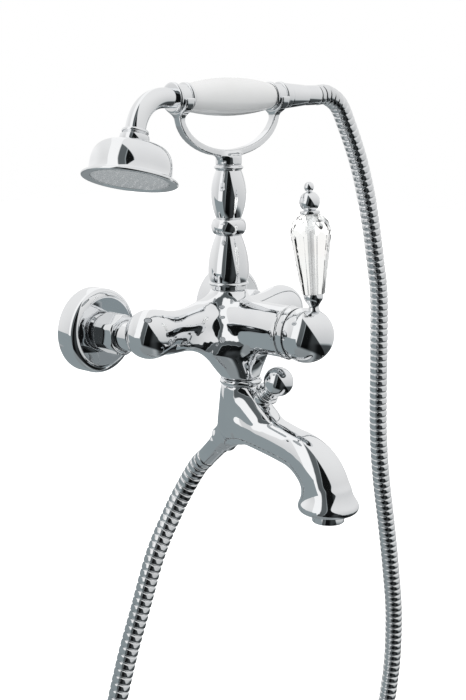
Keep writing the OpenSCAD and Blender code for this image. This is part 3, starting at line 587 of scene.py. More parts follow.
def cut_off(bm: Mesh, out: float, side: int) -> None:
    """Cut a mesh at a distance from the wall and close it.

    Args:
        bm: The mesh.
        out: The cut's distance from the wall.
        side: 1 to take off what is nearer to the wall, -1 to take off what is further out.
    """
    bmesh.ops.bisect_plane(bm, geom=bm.verts[:] + bm.edges[:] + bm.faces[:], plane_co=(0, -out, 0),
                           plane_no=(0, side, 0), clear_outer=True)
    bmesh.ops.holes_fill(bm, edges=[e for e in bm.edges if e.is_boundary])


def join(first: Mesh, second: Mesh, frame: Matrix = Matrix.Identity(4)) -> None:
    """Add the second mesh to the first, moved by a frame. The second is freed.

    Args:
        first: The mesh that grows.
        second: The mesh that is added.
        frame: Where the second mesh goes.
    """
    bmesh.ops.transform(second, matrix=frame, verts=second.verts[:])
    carrier = bpy.data.meshes.new("carrier")
    second.to_mesh(carrier)
    second.free()
    first.from_mesh(carrier)
    bpy.data.meshes.remove(carrier)


def tube_along(sections: list[tuple[Vector, Vector, float]], sides: int = 48) -> Mesh:
    """Closed tube through circles.

    Args:
        sections: Centre, direction and radius of each circle.
        sides: Number of sides.

    Returns:
        The tube.
    """
    bm = bmesh.new()
    loops = []
    for centre, ahead, radius in sections:
        place = Matrix.Translation(centre) @ ahead.to_track_quat("Z", "X").to_matrix().to_4x4()
        ring = bmesh.ops.create_circle(bm, segments=sides, radius=radius, matrix=place)["verts"]
        loops.append([e for e in bm.edges if e.verts[0] in ring and e.verts[1] in ring])
    for before, after in zip(loops, loops[1:]):
        bmesh.ops.bridge_loops(bm, edges=before + after)
    for end in (loops[0], loops[-1]):
        bmesh.ops.contextual_create(bm, geom=end)
    bmesh.ops.recalc_face_normals(bm, faces=bm.faces[:])
    return bm


# Sub-assemblies


@dataclass
class WallConnection:
    """Flanges and hexagonal union nuts at the two inlets."""

    spacing: float = 150.0
    flange_r: float = 32.5
    depth: float = 18.0
    edge: float = 6.0
    wall: float = 1.8
    bore_r: float = 13.32
    dish: float = 1.2
    dish_edge: float = 4.0
    nut_skin: Skin = Skin(0.3, 0.0, 3)

    def flange_profile(self) -> Profile:
        """Shell of a flange with a rounded rim and a slightly dished front."""
        mid_r, mid_z = self.flange_r - self.edge, self.depth - self.edge
        front = self.depth - self.dish
        return [(self.bore_r, front), (mid_r - self.dish_edge, front), *arc(mid_r, mid_z, self.edge, 96, 0),
                (self.flange_r, 0), (self.flange_r - self.wall, 0),
                *arc(mid_r, mid_z, self.edge - self.wall, 0, 90), (self.bore_r, front - self.wall)]

    def build(self, nodes: Nodes) -> None:
        """Make both flanges and nuts.

        Args:
            nodes: The CAD nodes' objects.
        """
        for side, x in (("left", -self.spacing / 2), ("right", self.spacing / 2)):
            flange, nut = f"{side}_wall_flange", f"{side}_union_nut"
            Piece(f"polished_{flange}", (flange,), Body.MIXER, CHROME).put(
                lathe(self.flange_profile(), 0.5, ring=True), wall_frame(x, 0))
            Piece(f"polished_{nut}", (nut,), Body.MIXER, CHROME, sharp=60).put(
                cast(node_copy(nodes[nut]), self.nut_skin))


@dataclass
class Castings:
    """The pieces that are cast in one and polished: body, spout and cradle.

    The funnel is the body's neck. At its top it is wider along the wall and flatter across by the shares
    funnel_wide and funnel_flat. The two rooms are cut into the spout, along the axes of the fittings there.
    """

    inlet_spacing: float = 150.0
    inlet_cut: float = 50.0
    inlet_face: float = 31.5
    inlet_collar_r: float = 13.12
    inlet_collar_t: float = 4.4
    inlet_neck_r: float = 11.0
    inlet_bore_r: float = 7.0
    inlet_lap: float = 6.0
    spout_out: float = 89.0
    arm_z: float = -70.8
    fall: float = 13.0
    arm_len: float = 54.8
    arm_r: float = 14.8
    root_r: float = 17.4
    bend_r: float = 44.0
    bend_swell: float = 1.6
    mouth_r: float = 17.4
    bend_out: float = 132.5
    outlet_z: float = -126.0
    lip_r: float = 23.0
    lip_edge: float = 4.4
    lip_rise: float = 20.0
    lip_sink: float = 0.6
    spout_cut: float = 150.0
    arm_out: float = 66.0
    waist: tuple[float, float] = (30.0, 60.0)
    waist_z: float = -0.6
    waist_r: float = 13.2
    neck_z: float = -37.5
    neck_r: float = 14.8
    funnel_z: float = -15.0
    funnel_r: float = 24.5
    funnel_wide: float = 0.4
    funnel_flat: float = 0.1
    funnel_lean: float = 4.5
    funnel_crown: float = 18.0
    fin_r: float = 14.6
    fin: tuple[tuple[float, float], ...] = ((89.0, -50.0), (112.0, -70.0), (84.0, -77.0))
    valve_room: tuple[float, float] = (-10.0, 8.5)
    valve_room_r: float = 8.0
    bonnet_room_r: float = 6.25
    bonnet_play: float = 0.35
    aerator_room: tuple[float, float] = (-2.0, 16.0)
    aerator_room_r: float = 11.25
    body_skin: Skin = Skin(0.95, 14.0, 8)
    spout_skin: Skin = Skin(0.8, 12.0, 7)
    cradle_skin: Skin = Skin(0.5, 4.5, 6)

    def body(self, node: bpy.types.Object) -> Mesh:
        """Body with its arms, housing and neck run together, on crisp inlet necks.

        Args:
            node: The CAD node's object.

        Returns:
            The body's mesh.
        """
        rough = node_copy(node)
        cut_off(rough, self.inlet_cut, 1)
        for side in (-1, 1):
            ends = [(Vector((side * x, -self.arm_out, self.waist_z)), Vector((side, 0, 0)), self.waist_r)
                    for x in self.waist]
            join(rough, tube_along(ends))
        join(rough, self.funnel())
        bm = cast(rough, self.body_skin)
        step, back = self.inlet_face + self.inlet_collar_t, self.inlet_cut + self.inlet_lap
        neck = bored(self.inlet_bore_r, [(self.inlet_collar_r, self.inlet_face), (self.inlet_collar_r, step),
                                         (self.inlet_neck_r, step), (self.inlet_neck_r, back)])
        for x in (-self.inlet_spacing / 2, self.inlet_spacing / 2):
            join(bm, lathe(neck, 0.3, 64, True), wall_frame(x, 0))
        return bm

    def funnel(self) -> Mesh:
        """Neck that widens from the spout ring up into the body and leans back under the arms.

        Returns:
            The neck's mesh.
        """
        wall = swell(self.neck_r, self.neck_z, self.funnel_r, self.funnel_z, 1.15)
        turns = [math.radians(a) for a in range(10, 91, 10)]
        top = [(self.funnel_r * math.cos(a), self.funnel_z + self.funnel_crown * math.sin(a)) for a in turns]
        bm = lathe([(0, self.neck_z), *wall, *top], 0.0)
        for v in bm.verts:
            t = min((v.co.z - self.neck_z) / (self.funnel_z - self.neck_z), 1.0)
            v.co.x *= 1 + self.funnel_wide * t
            v.co.y = v.co.y * (1 - self.funnel_flat * t) + self.funnel_lean * t - self.spout_out
        return bm

    def lip_profile(self) -> Profile:
        """Flared lip with a round edge."""
        edge = self.lip_edge
        bead = arc(self.lip_r - edge, self.outlet_z + edge, edge, 35, -90)
        top = self.outlet_z + self.lip_rise
        flare = swell(self.mouth_r - self.lip_sink, top, *bead[0], 1.8)
        return [(0, top), *flare, *bead[1:], (0, self.outlet_z)]

    def spout_run(self) -> Mesh:
        """Arm of the spout, wider where it leaves the barrel and towards the lip.

        Returns:
            The arm's mesh.
        """
        drop = math.radians(self.fall)
        ahead = Vector((0, -math.cos(drop), -math.sin(drop)))
        start = Vector((0, -self.spout_out, self.arm_z))
        sections = []
        for i in range(13):
            t = i / 12
            radius = self.arm_r + (self.root_r - self.arm_r) * (1 - t) ** 2
            sections.append((start + ahead * self.arm_len * t, ahead, radius))
        centre = Vector((0, -self.bend_out, self.outlet_z))
        for i in range(1, 25):
            t = i / 24
            angle = math.radians((90 - self.fall) * (1 - t))
            spoke = Vector((0, -math.cos(angle), math.sin(angle)))
            along = Vector((0, -math.sin(angle), -math.cos(angle)))
            extra = self.bend_swell * math.sin(math.pi * t)
            radius = self.arm_r + (self.mouth_r - self.arm_r) * t ** 1.6 + extra
            sections.append((centre + spoke * (self.bend_r + extra), along, radius))
        return tube_along(sections)

    def fin_web(self) -> Mesh:
        """Flat-sided web that runs barrel, arm and hose outlet together.

        Returns:
            The web's mesh.
        """
        bm = bmesh.new()
        for out, z in self.fin:
            bmesh.ops.create_uvsphere(bm, u_segments=32, v_segments=16, radius=self.fin_r,
                                      matrix=Matrix.Translation((0, -out, z)))
        bmesh.ops.convex_hull(bm, input=bm.verts[:])
        bmesh.ops.delete(bm, geom=[v for v in bm.verts if not v.link_faces], context="VERTS")
        return bm

    def spout(self, node: bpy.types.Object, fittings: SpoutFittings) -> Mesh:
        """Spout with its barrel, arm and bosses run together.

        Args:
            node: The CAD node's object.
            fittings: The fittings that need room in it.

        Returns:
            The spout's mesh.
        """
        rough = node_copy(node)
        cut_off(rough, self.spout_cut, -1)
        join(rough, self.spout_run())
        join(rough, self.fin_web())
        join(rough, lathe(self.lip_profile(), 0.0), Matrix.Translation((0, -fittings.outlet_out, 0)))
        deep, high = self.valve_room
        wide = fittings.bonnet_r + self.bonnet_play
        room = lathe(bored(0, [(self.valve_room_r, deep), (self.valve_room_r, high), (self.bonnet_room_r, high),
                               (self.bonnet_room_r, fittings.boss_top), (wide, fittings.boss_top),
                               (wide, fittings.knob_s)]), 0.0, 64)
        bmesh.ops.transform(room, matrix=fittings.valve_frame(), verts=room.verts[:])
        mouth = [(self.aerator_room_r, self.outlet_z + z) for z in self.aerator_room]
        outlet = lathe(bored(0, mouth), 0.0, 64)
        bmesh.ops.translate(outlet, vec=(0, -fittings.outlet_out, 0), verts=outlet.verts[:])
        return cast(rough, self.spout_skin, (room, outlet))

    def build(self, nodes: Nodes, fittings: SpoutFittings) -> None:
        """Make the polished castings.

        Args:
            nodes: The CAD nodes' objects.
            fittings: The spout's fittings.
        """
        made = {"mixer_body": self.body(nodes["mixer_body"]), "spout": self.spout(nodes["spout"], fittings),
                "cradle_fork": cast(node_copy(nodes["cradle_fork"]), self.cradle_skin)}
        for name, bm in made.items():
            Piece(f"polished_{name}", (name,), Body.MIXER, CHROME, sharp=60).put(bm)


@dataclass
class Column:
    """The turned column between body and cradle."""

    out: float = 76.5
    foot: float = 31.0
    bore_r: float = 5.05
    base_h: float = 5.3
    base_r: float = 15.3
    lower_h: float = 36.2
    lower_r: float = 15.8
    bead_h: float = 12.2
    bead_r: float = 13.5
    upper_h: float = 36.3
    upper_r: float = 13.4
    waist_r: float = 9.6
    top_h: float = 4.0
    top_r: float = 11.2
    spigot_r: float = 10.0
    base_step: float = 1.4
    foot_step: float = 1.6
    belly_share: float = 0.22

    def profiles(self) -> dict[str, Profile]:
        """Outline of each turned piece, from its foot up.

        Returns:
            Node name to outline.
        """
        z1 = self.foot + self.base_h
        z2 = z1 + self.lower_h
        z3 = z2 + self.bead_h
        z4 = z3 + self.upper_h
        half = self.base_h / 4
        belly = z1 + self.lower_h * self.belly_share
        middle = z3 + self.upper_h / 2
        turns = [math.radians(a) for a in range(-90, 91, 6)]
        bead = [(self.waist_r + (self.bead_r - self.waist_r) * math.cos(a),
                 z2 + self.bead_h / 2 * (1 + math.sin(a))) for a in turns]
        step = self.base_r - self.base_step
        return {
            "column_base_ring": [(step, self.foot), (step, self.foot + 2 * half),
                                 *arc(self.base_r - half, self.foot + 3 * half, half, -90, 90)],
            "lower_baluster": [*reversed(swell(self.lower_r, belly, self.lower_r - self.foot_step, z1, 2.0)),
                               *swell(self.lower_r, belly, self.waist_r, z2, 2.0, 28)[1:]],
            "column_bead": bead,
            "upper_baluster": [*reversed(swell(self.upper_r, middle, self.waist_r, z3, 2.0)),
                               *swell(self.upper_r, middle, self.waist_r, z4, 2.0)[1:]],
            "column_top_ring": [(self.spigot_r, z4), *arc(self.top_r - 1, z4 + self.top_h / 2, 1, -90, 90),
                                (self.spigot_r, z4 + self.top_h)],
        }

    def build(self) -> None:
        """Make the column's turned pieces."""
        frame = Matrix.Translation((0, -self.out, 0))
        for node, outline in self.profiles().items():
            turned(node, node, Body.MIXER, bored(self.bore_r, outline), frame, 0.25)


@dataclass
class Lever:
    """Trim collar, ball handle and crystal lever.

    Each of the crystal's cuts is a share of its length, a share of its radius and a turn in facets.
    """

    rise: float = 4.5
    housing_out: float = 139.4
    handle_out: float = 153.6
    handle_r: float = 20.4
    handle_in_r: float = 18.0
    mouth: float = 46.0
    collar_r: float = 19.4
    collar_bore_r: float = 13.16
    plug_r: float = 17.45
    plug_out: float = 136.2
    play: float = 0.35
    foot_gap: float = 0.2
    seam: float = 0.6
    seam_w: float = 0.4
    lean: float = 4.0
    foot_set: float = 19.0
    rod_r: float = 2.05
    shank_len: float = 12.0
    shank_sink: float = 1.2
    shank_foot_r: float = 4.2
    shank_neck_r: float = 3.6
    crystal_len: float = 57.5
    crystal_r: float = 15.0
    crystal_end_r: float = 7.3
    crystal_foot_r: float = 8.4
    facets: int = 10
    cuts: tuple[Triple, ...] = ((0.74, 0.985, 0.0), (0.82, 1.0, 0.5), (0.91, 0.86, 0.0), (0.97, 0.66, 0.5))
    cap_h: float = 2.6
    ball_r: float = 7.5
    ball_sink: float = 1.2
    tip_r: float = 3.6
    tip_sink: float = 0.6

    def lever_frame(self) -> Matrix:
        """Frame whose local +Z points up the lever, from its foot on the ball handle."""
        turn = math.radians(self.foot_set)
        reach = self.handle_r + self.foot_gap
        foot = (0, -self.handle_out - reach * math.sin(turn), self.rise + reach * math.cos(turn))
        return Matrix.Translation(foot) @ Matrix.Rotation(math.radians(-self.lean), 4, "X")

    def collar_profile(self) -> Profile:
        """Trim collar with a dished front and a dark seam against the housing."""
        dish = self.handle_r + self.play
        rim = self.collar_r - self.seam
        low, high = (math.sqrt(dish ** 2 - r ** 2) for r in (self.collar_bore_r, rim))
        seat = [(math.sqrt(dish ** 2 - d ** 2), self.handle_out - d)
                for d in [high + (low - high) * i / 10 for i in range(11)]]
        back, seam = self.housing_out, self.housing_out + self.seam_w
        return [(self.collar_bore_r, self.plug_out), (self.plug_r, self.plug_out), (self.plug_r, back),
                (rim, back), (rim, seam), (self.collar_r, seam + 0.1), (self.collar_r, self.handle_out - high),
                *seat]

    def ball_profile(self) -> Profile:
        """Hollow ball with its mouth towards the housing."""
        first = -90 + self.mouth
        outer = arc(0, 0, self.handle_r, first, 90, 48)
        inner = arc(0, 0, self.handle_in_r, 90, first, 32)
        return [*outer, *inner, outer[0]]

    def crystal(self) -> Mesh:
        """Cut crystal: long tapering facets below, a faceted shoulder above.

        Returns:
            The crystal's mesh, in the lever's frame.
        """
        bm = bmesh.new()
        rings = ((0.0, self.crystal_foot_r, 0.0), *((s, self.crystal_r * r, t) for s, r, t in self.cuts),
                 (1.0, self.crystal_end_r, 0.0))
        for share, radius, turn in rings:
            spin = Matrix.Rotation(math.tau * turn / self.facets, 4, "Z")
            lift = Matrix.Translation((0, 0, self.shank_len + share * self.crystal_len))
            bmesh.ops.create_circle(bm, segments=self.facets, radius=radius, matrix=lift @ spin)
        bmesh.ops.convex_hull(bm, input=bm.verts[:])
        bmesh.ops.delete(bm, geom=[e for e in bm.edges if not e.link_faces], context="EDGES")
        bmesh.ops.dissolve_limit(bm, angle_limit=math.radians(1), verts=bm.verts[:], edges=bm.edges[:])
        bmesh.ops.recalc_face_normals(bm, faces=bm.faces[:])
        return bm

    def finial_profile(self) -> Profile:
        """Large and small ball of the finial."""
        base = self.shank_len + self.crystal_len + self.cap_h
        ball = base + self.ball_r - self.ball_sink
        tip = ball + self.ball_r + self.tip_r - self.tip_sink
        lower = -math.degrees(math.asin((self.ball_r - self.ball_sink) / self.ball_r))
        return [(0, base), *arc(0, ball, self.ball_r, lower, 74, 30), *arc(0, tip, self.tip_r, -66, 90, 20)]

    def build(self) -> None:
        """Make collar, ball handle, shank, crystal, cap and finial."""
        turned("trim_collar", "trim_collar", Body.MIXER, self.collar_profile(), wall_frame(0, self.rise), 0.2)
        ball = Matrix.Rotation(math.radians(90), 4, "X")
        Piece("ball_handle", ("lever_ball",), Body.LEVER, CHROME).put(
            lathe(self.ball_profile(), 0.2, 128), Matrix.Translation((0, -self.handle_out, self.rise)) @ ball)
        frame = self.lever_frame()
        wide, top = self.crystal_end_r, self.shank_len + self.crystal_len
        shank = [(self.shank_foot_r, -self.shank_sink), (self.shank_foot_r, 0.4),
                 *ease(self.shank_neck_r, 2, wide, self.shank_len - 2), (wide, self.shank_len)]
        turned("shank", "lever_shank", Body.LEVER, bored(self.rod_r, shank), frame, 0.25, 64)
        Piece("cut_crystal_grip", ("crystal_grip",), Body.LEVER, CRYSTAL, sharp=0.5).put(
            self.crystal(), frame)
        cap = bored(self.rod_r, [(wide, top), (wide, top + self.cap_h)])
        turned("grip_cap", "grip_cap", Body.LEVER, cap, frame, 0.7, 64)
        Piece("finial_balls", ("lever_finial",), Body.LEVER, CHROME).put(
            lathe(self.finial_profile(), 0.15, 72), frame)


@dataclass
class SpoutFittings:
    """Ring, aerator, diverter and hose ferrule on the spout.

    Heights of diverter and ferrule are measured up the slanted axis that they share.
    """

    out: float = 89.0
    ring_r: float = 16.5
    ring_top: float = -37.5
    ring_h: float = 4.4
    nipple_r: float = 10.5
    outlet_out: float = 176.5
    lip_z: float = -126.0
    aerator_r: float = 12.0
    aerator_out: float = 7.4
    aerator_bore_r: float = 9.6
    aerator_plug_r: float = 11.15
    aerator_plug_h: float = 7.4
    valve_z: float = -73.0
    slant: float = 45.0
    stem_r: float = 3.06
    bonnet_r: float = 7.6
    bonnet_h: float = 4.0
    bonnet_plug_r: float = 6.15
    bonnet_plug_h: float = 9.0
    boss_top: float = 30.29
    knob_lift: float = 6.4
    knob_flange_r: float = 9.6
    knob_neck_r: float = 6.0
    knob_s: float = 54.0
    knob_r: float = 11.3
    outlet_end: float = -27.0
    thread_r: float = 7.4
    thread_h: float = 9.0
    ferrule_r: float = 8.6
    ferrule_h: float = 6.0
    ferrule_tail_r: float = 7.7
    ferrule_end: float = -51.5
    hose_bore_r: float = 4.0

    def valve_frame(self) -> Matrix:
        """Frame whose local +Z points up the diverter's axis."""
        tilt = Matrix.Rotation(math.radians(self.slant), 4, "X")
        return Matrix.Translation((0, -self.out, self.valve_z)) @ tilt

    def knob_profile(self) -> Profile:
        """Knob: flange, two beads and ball, with a blind hole for the stem."""
        base = self.boss_top + self.knob_lift
        flange, bead = self.knob_flange_r, self.knob_flange_r - 2.6
        meet = math.degrees(math.asin(self.knob_neck_r / self.knob_r))
        hole = self.knob_s - self.knob_r / 2
        return [(self.stem_r, base), (flange - 1, base), *arc(flange - 1.2, base + 1.2, 1.2, -80, 80, 8),
                (bead, base + 2.8), *arc(bead, base + 4.3, 1.3, -80, 80, 8), (self.knob_neck_r, base + 5.9),
                *arc(0, self.knob_s, self.knob_r, meet - 90, 90, 40), (0, hole), (self.stem_r, hole),
                (self.stem_r, base)]

    def build(self) -> None:
        """Make the spout's fittings."""
        low, edge = self.ring_top - self.ring_h, self.ring_h / 2
        ring = bored(self.nipple_r, arc(self.ring_r - edge, low + edge, edge, -90, 90))
        turned("spout_ring", "spout_ring", Body.MIXER, ring, Matrix.Translation((0, -self.out, 0)), 0.0)
        housing = [(self.aerator_r, self.lip_z - self.aerator_out), (self.aerator_r, self.lip_z),
                   (self.aerator_plug_r, self.lip_z), (self.aerator_plug_r, self.lip_z + self.aerator_plug_h)]
        turned("aerator", "aerator_housing", Body.MIXER, bored(self.aerator_bore_r, housing),
               Matrix.Translation((0, -self.outlet_out, 0)), 0.5)
        frame = self.valve_frame()
        bonnet = [(self.bonnet_plug_r, self.boss_top - self.bonnet_plug_h), (self.bonnet_plug_r, self.boss_top),
                  (self.bonnet_r, self.boss_top), (self.bonnet_r, self.boss_top + self.bonnet_h)]
        turned("diverter_bonnet", "diverter_bonnet", Body.MIXER, bored(self.stem_r, bonnet), frame, 0.6, 64)
        Piece("diverter_ball_knob", ("diverter_knob",), Body.DIVERTER, CHROME).put(
            lathe(self.knob_profile(), 0.2), frame)
        shoulder = self.outlet_end - self.ferrule_h
        ferrule = [(self.thread_r, self.outlet_end + self.thread_h), (self.thread_r, self.outlet_end),
                   (self.ferrule_r, self.outlet_end), (self.ferrule_r, shoulder),
                   (self.ferrule_r - 0.5, shoulder - 0.8), (self.ferrule_tail_r, self.ferrule_end)]
        turned("hose_ferrule", "lower_hose_ferrule", Body.MIXER, bored(self.hose_bore_r, ferrule), frame,
               0.4, 64)


@dataclass
class Handset:
    """Hand shower: head, neck, collars, porcelain grip and hose connection.

    Sizes of the head are measured along its own axis, from the neck's end to the spray face.
    """

    out: float = 76.5
    height: float = 175.05
    grip_half: float = 45.0
    grip_end_r: float = 9.8
    grip_mid_r: float = 14.0
    tube_r: float = 6.05
    collar_len: float = 15.5
    collar_r: float = 11.0
    collar_rim: float = 1.6
    seat_r: float = 9.3
    nut_len: float = 27.0
    nut_r: float = 9.8
    nut_end_r: float = 8.2
    sleeve_len: float = 16.0
    sleeve_r: float = 7.8
    hose_bore_r: float = 4.0
    neck_r: float = 7.3
    neck_straight: float = 9.0
    bend_r: float = 30.0
    bend: float = 73.0
    roll: float = -7.0
    head_nut_h: float = 9.6
    head_nut_r: float = 10.3
    head_nut_bore_r: float = 6.1
    head_end: float = 34.0
    head_bore_r: float = 6.5
    head_top_r: float = 9.3
    head_r: float = 29.0
    brim: float = 3.6
    bell_square: float = 0.7
    rim_r: float = 34.0
    rim_t: float = 2.4
    plate_r: float = 27.35
    plate_top: float = 34.4
    plate_t: float = 2.0
    plate_play: float = 0.15
    nozzle_r: tuple[float, float] = (0.85, 0.5)
    nozzle_h: float = 0.9
    nozzle_rings: tuple[tuple[float, int], ...] = ((6.0, 6), (12.0, 12), (18.0, 18), (23.5, 24))

    def axis_frame(self) -> Matrix:
        """Frame whose local +Z points along the grip towards the hose."""
        turn = Matrix.Rotation(math.radians(90), 4, "Y")
        return Matrix.Translation((0, -self.out, self.height)) @ turn

    def neck_frame(self) -> Matrix:
        """Frame at the grip's axis, rolled with the bent neck."""
        turn = Matrix.Rotation(math.radians(self.roll), 4, "X")
        return Matrix.Translation((0, -self.out, self.height)) @ turn

    def head_frame(self) -> Matrix:
        """Frame at the neck's end, whose local +Z points out of the spray face."""
        start = self.grip_half + self.collar_len + self.neck_straight
        return (self.neck_frame() @ Matrix.Translation((-start, 0, -self.bend_r))
                @ Matrix.Rotation(math.radians(-self.bend), 4, "Y") @ Matrix.Translation((0, 0, self.bend_r))
                @ Matrix.Rotation(math.radians(-90), 4, "Y"))

    def collar_profile(self) -> Profile:
        """Collar with two rounded rims and the seat that lies in the yoke."""
        first, last = self.grip_half, self.grip_half + self.collar_len
        rim, middle = self.collar_rim, self.collar_r - self.collar_rim
        return bored(self.tube_r, [
            (self.collar_r - 1.0, first), *arc(middle, first + rim, rim, -90, 90, 10),
            (self.seat_r, first + 2 * rim), (self.seat_r, last - 2 * rim),
            *arc(middle, last - rim, rim, -90, 90, 10)])

    def head_profile(self) -> Profile:
        """Bell of the spray head, with a brim and a hollow behind the plate."""
        top, brim, square = self.head_nut_h, self.brim, self.bell_square
        crown = self.head_end - brim - top
        turns = [math.radians(a) for a in range(0, 90, 3)]
        bell = [(self.head_top_r + (self.head_r - self.head_top_r) * math.sin(a) ** square,
                 top + crown * (1 - math.cos(a) ** square)) for a in turns]
        turns = [math.radians(a) for a in range(15, 91, 15)]
        flare = [(self.head_r + brim * (1 - math.cos(a)), self.head_end - brim * (1 - math.sin(a)))
                 for a in turns]
        edge, front = self.rim_t / 2, self.head_end + self.rim_t
        hollow = self.plate_r + self.plate_play
        return [(self.head_bore_r, top), *bell, *flare,
                *arc(self.rim_r - edge, self.head_end + edge, edge, -90, 90, 12), (self.rim_r - 3.0, front),
                (hollow + 1.2, front - 0.7), (hollow, front - 0.7), (hollow, self.plate_top - 2.4),
                (hollow - 3, self.head_end - 9), (self.head_bore_r, top + 3)]

    def neck(self) -> Mesh:
        """Bent neck from the front collar to the head nut.

        Returns:
            The neck's mesh, in the neck's frame.
        """
        bm = bmesh.new()
        begin = -self.grip_half - self.collar_len
        turn = Matrix.Translation((begin, 0, 0)) @ Matrix.Rotation(math.radians(90), 4, "Y")
        bmesh.ops.create_circle(bm, cap_ends=True, segments=64, radius=self.neck_r, matrix=turn)
        push = bmesh.ops.extrude_edge_only(bm, edges=bm.edges[:])["geom"]
        moved = [v for v in push if isinstance(v, bmesh.types.BMVert)]
        bmesh.ops.translate(bm, vec=(-self.neck_straight, 0, 0), verts=moved)
        loop = [e for e in push if isinstance(e, bmesh.types.BMEdge) and all(v in moved for v in e.verts)]
        centre = (begin - self.neck_straight, 0, -self.bend_r)
        swept = bmesh.ops.spin(bm, geom=moved + loop, cent=centre, axis=(0, -1, 0), steps=40,
                               angle=math.radians(self.bend))["geom_last"]
        bmesh.ops.contextual_create(bm, geom=[e for e in swept if isinstance(e, bmesh.types.BMEdge)])
        bmesh.ops.recalc_face_normals(bm, faces=bm.faces[:])
        return bm

    def spray_plate(self) -> Mesh:
        """Spray plate with rings of soft nozzles.

        Returns:
            The plate's mesh, in the head's frame.
        """
        face = self.plate_top + self.plate_t - self.nozzle_h
        wide = self.plate_r
        step = [(wide, self.plate_top), (wide, face - 0.3), (wide - 1.1, face), (wide - 1.5, face - 0.25),
                (wide - 1.9, face)]
        bm = lathe(bored(0, step), 0.12)
        foot, tip = self.nozzle_r
        for radius, count in self.nozzle_rings:
            for index in range(count):
                spin = Matrix.Rotation(math.tau * index / count, 4, "Z")
                place = spin @ Matrix.Translation((radius, 0, face + 0.2))
                bmesh.ops.create_cone(bm, cap_ends=True, segments=12, radius1=foot, radius2=tip,
                                      depth=self.nozzle_h, matrix=place)
        return bm

    def build(self) -> None:
        """Make the hand shower's pieces."""
        along, half = self.axis_frame(), self.grip_half
        belly = self.grip_mid_r - self.grip_end_r
        grip = [(self.grip_end_r + belly * (1 - t * t), half * t) for t in [i / 24 - 1 for i in range(49)]]
        Piece("porcelain_grip", ("grip_sleeve",), Body.HANDSET, PORCELAIN).put(
            lathe(bored(self.tube_r, grip), 0.6, ring=True), along)
        collar = self.collar_profile()
        turned("rear_collar", "rear_collar", Body.HANDSET, collar, along, 0.2)
        about = Matrix.Rotation(math.pi, 4, "X")
        turned("front_collar", "front_collar", Body.HANDSET, collar, along @ about, 0.2)
        start, wide = half + self.collar_len, self.nut_r
        end = start + self.nut_len
        nut = [(wide, start), (wide, start + 5), (wide - 0.5, start + 5.6), (wide - 0.15, start + 6.2),
               (self.nut_end_r, end)]
        turned("hose_nut", "upper_hose_nut", Body.HANDSET, bored(self.tube_r, nut), along, 0.4, 72)
        sleeve = bored(self.hose_bore_r, [(self.sleeve_r, end), (self.sleeve_r, end + self.sleeve_len)])
        turned("hose_sleeve", "upper_hose_sleeve", Body.HANDSET, sleeve, along, 0.6, 72)
        Piece("bent_neck", ("handset_neck",), Body.HANDSET, CHROME).put(self.neck(), self.neck_frame())
        head, wide = self.head_frame(), self.head_nut_r
        ring = [(wide - 2.0, 0), *arc(wide - 2.2, 1.6, 1.5, -70, 70, 10), (wide - 1.7, 3.4), (wide, 4.4),
                (wide + 0.3, 7.0), (wide - 0.6, self.head_nut_h)]
        turned("head_nut", "head_nut", Body.HANDSET, bored(self.head_nut_bore_r, ring), head, 0.4, 72)
        Piece("spray_head_bell", ("handset_head",), Body.HANDSET, CHROME, sharp=45).put(
            lathe(self.head_profile(), 0.15, 128, True), head)
        Piece("nozzle_plate", ("spray_plate",), Body.HANDSET, SPRAY_FACE).put(self.spray_plate(), head)


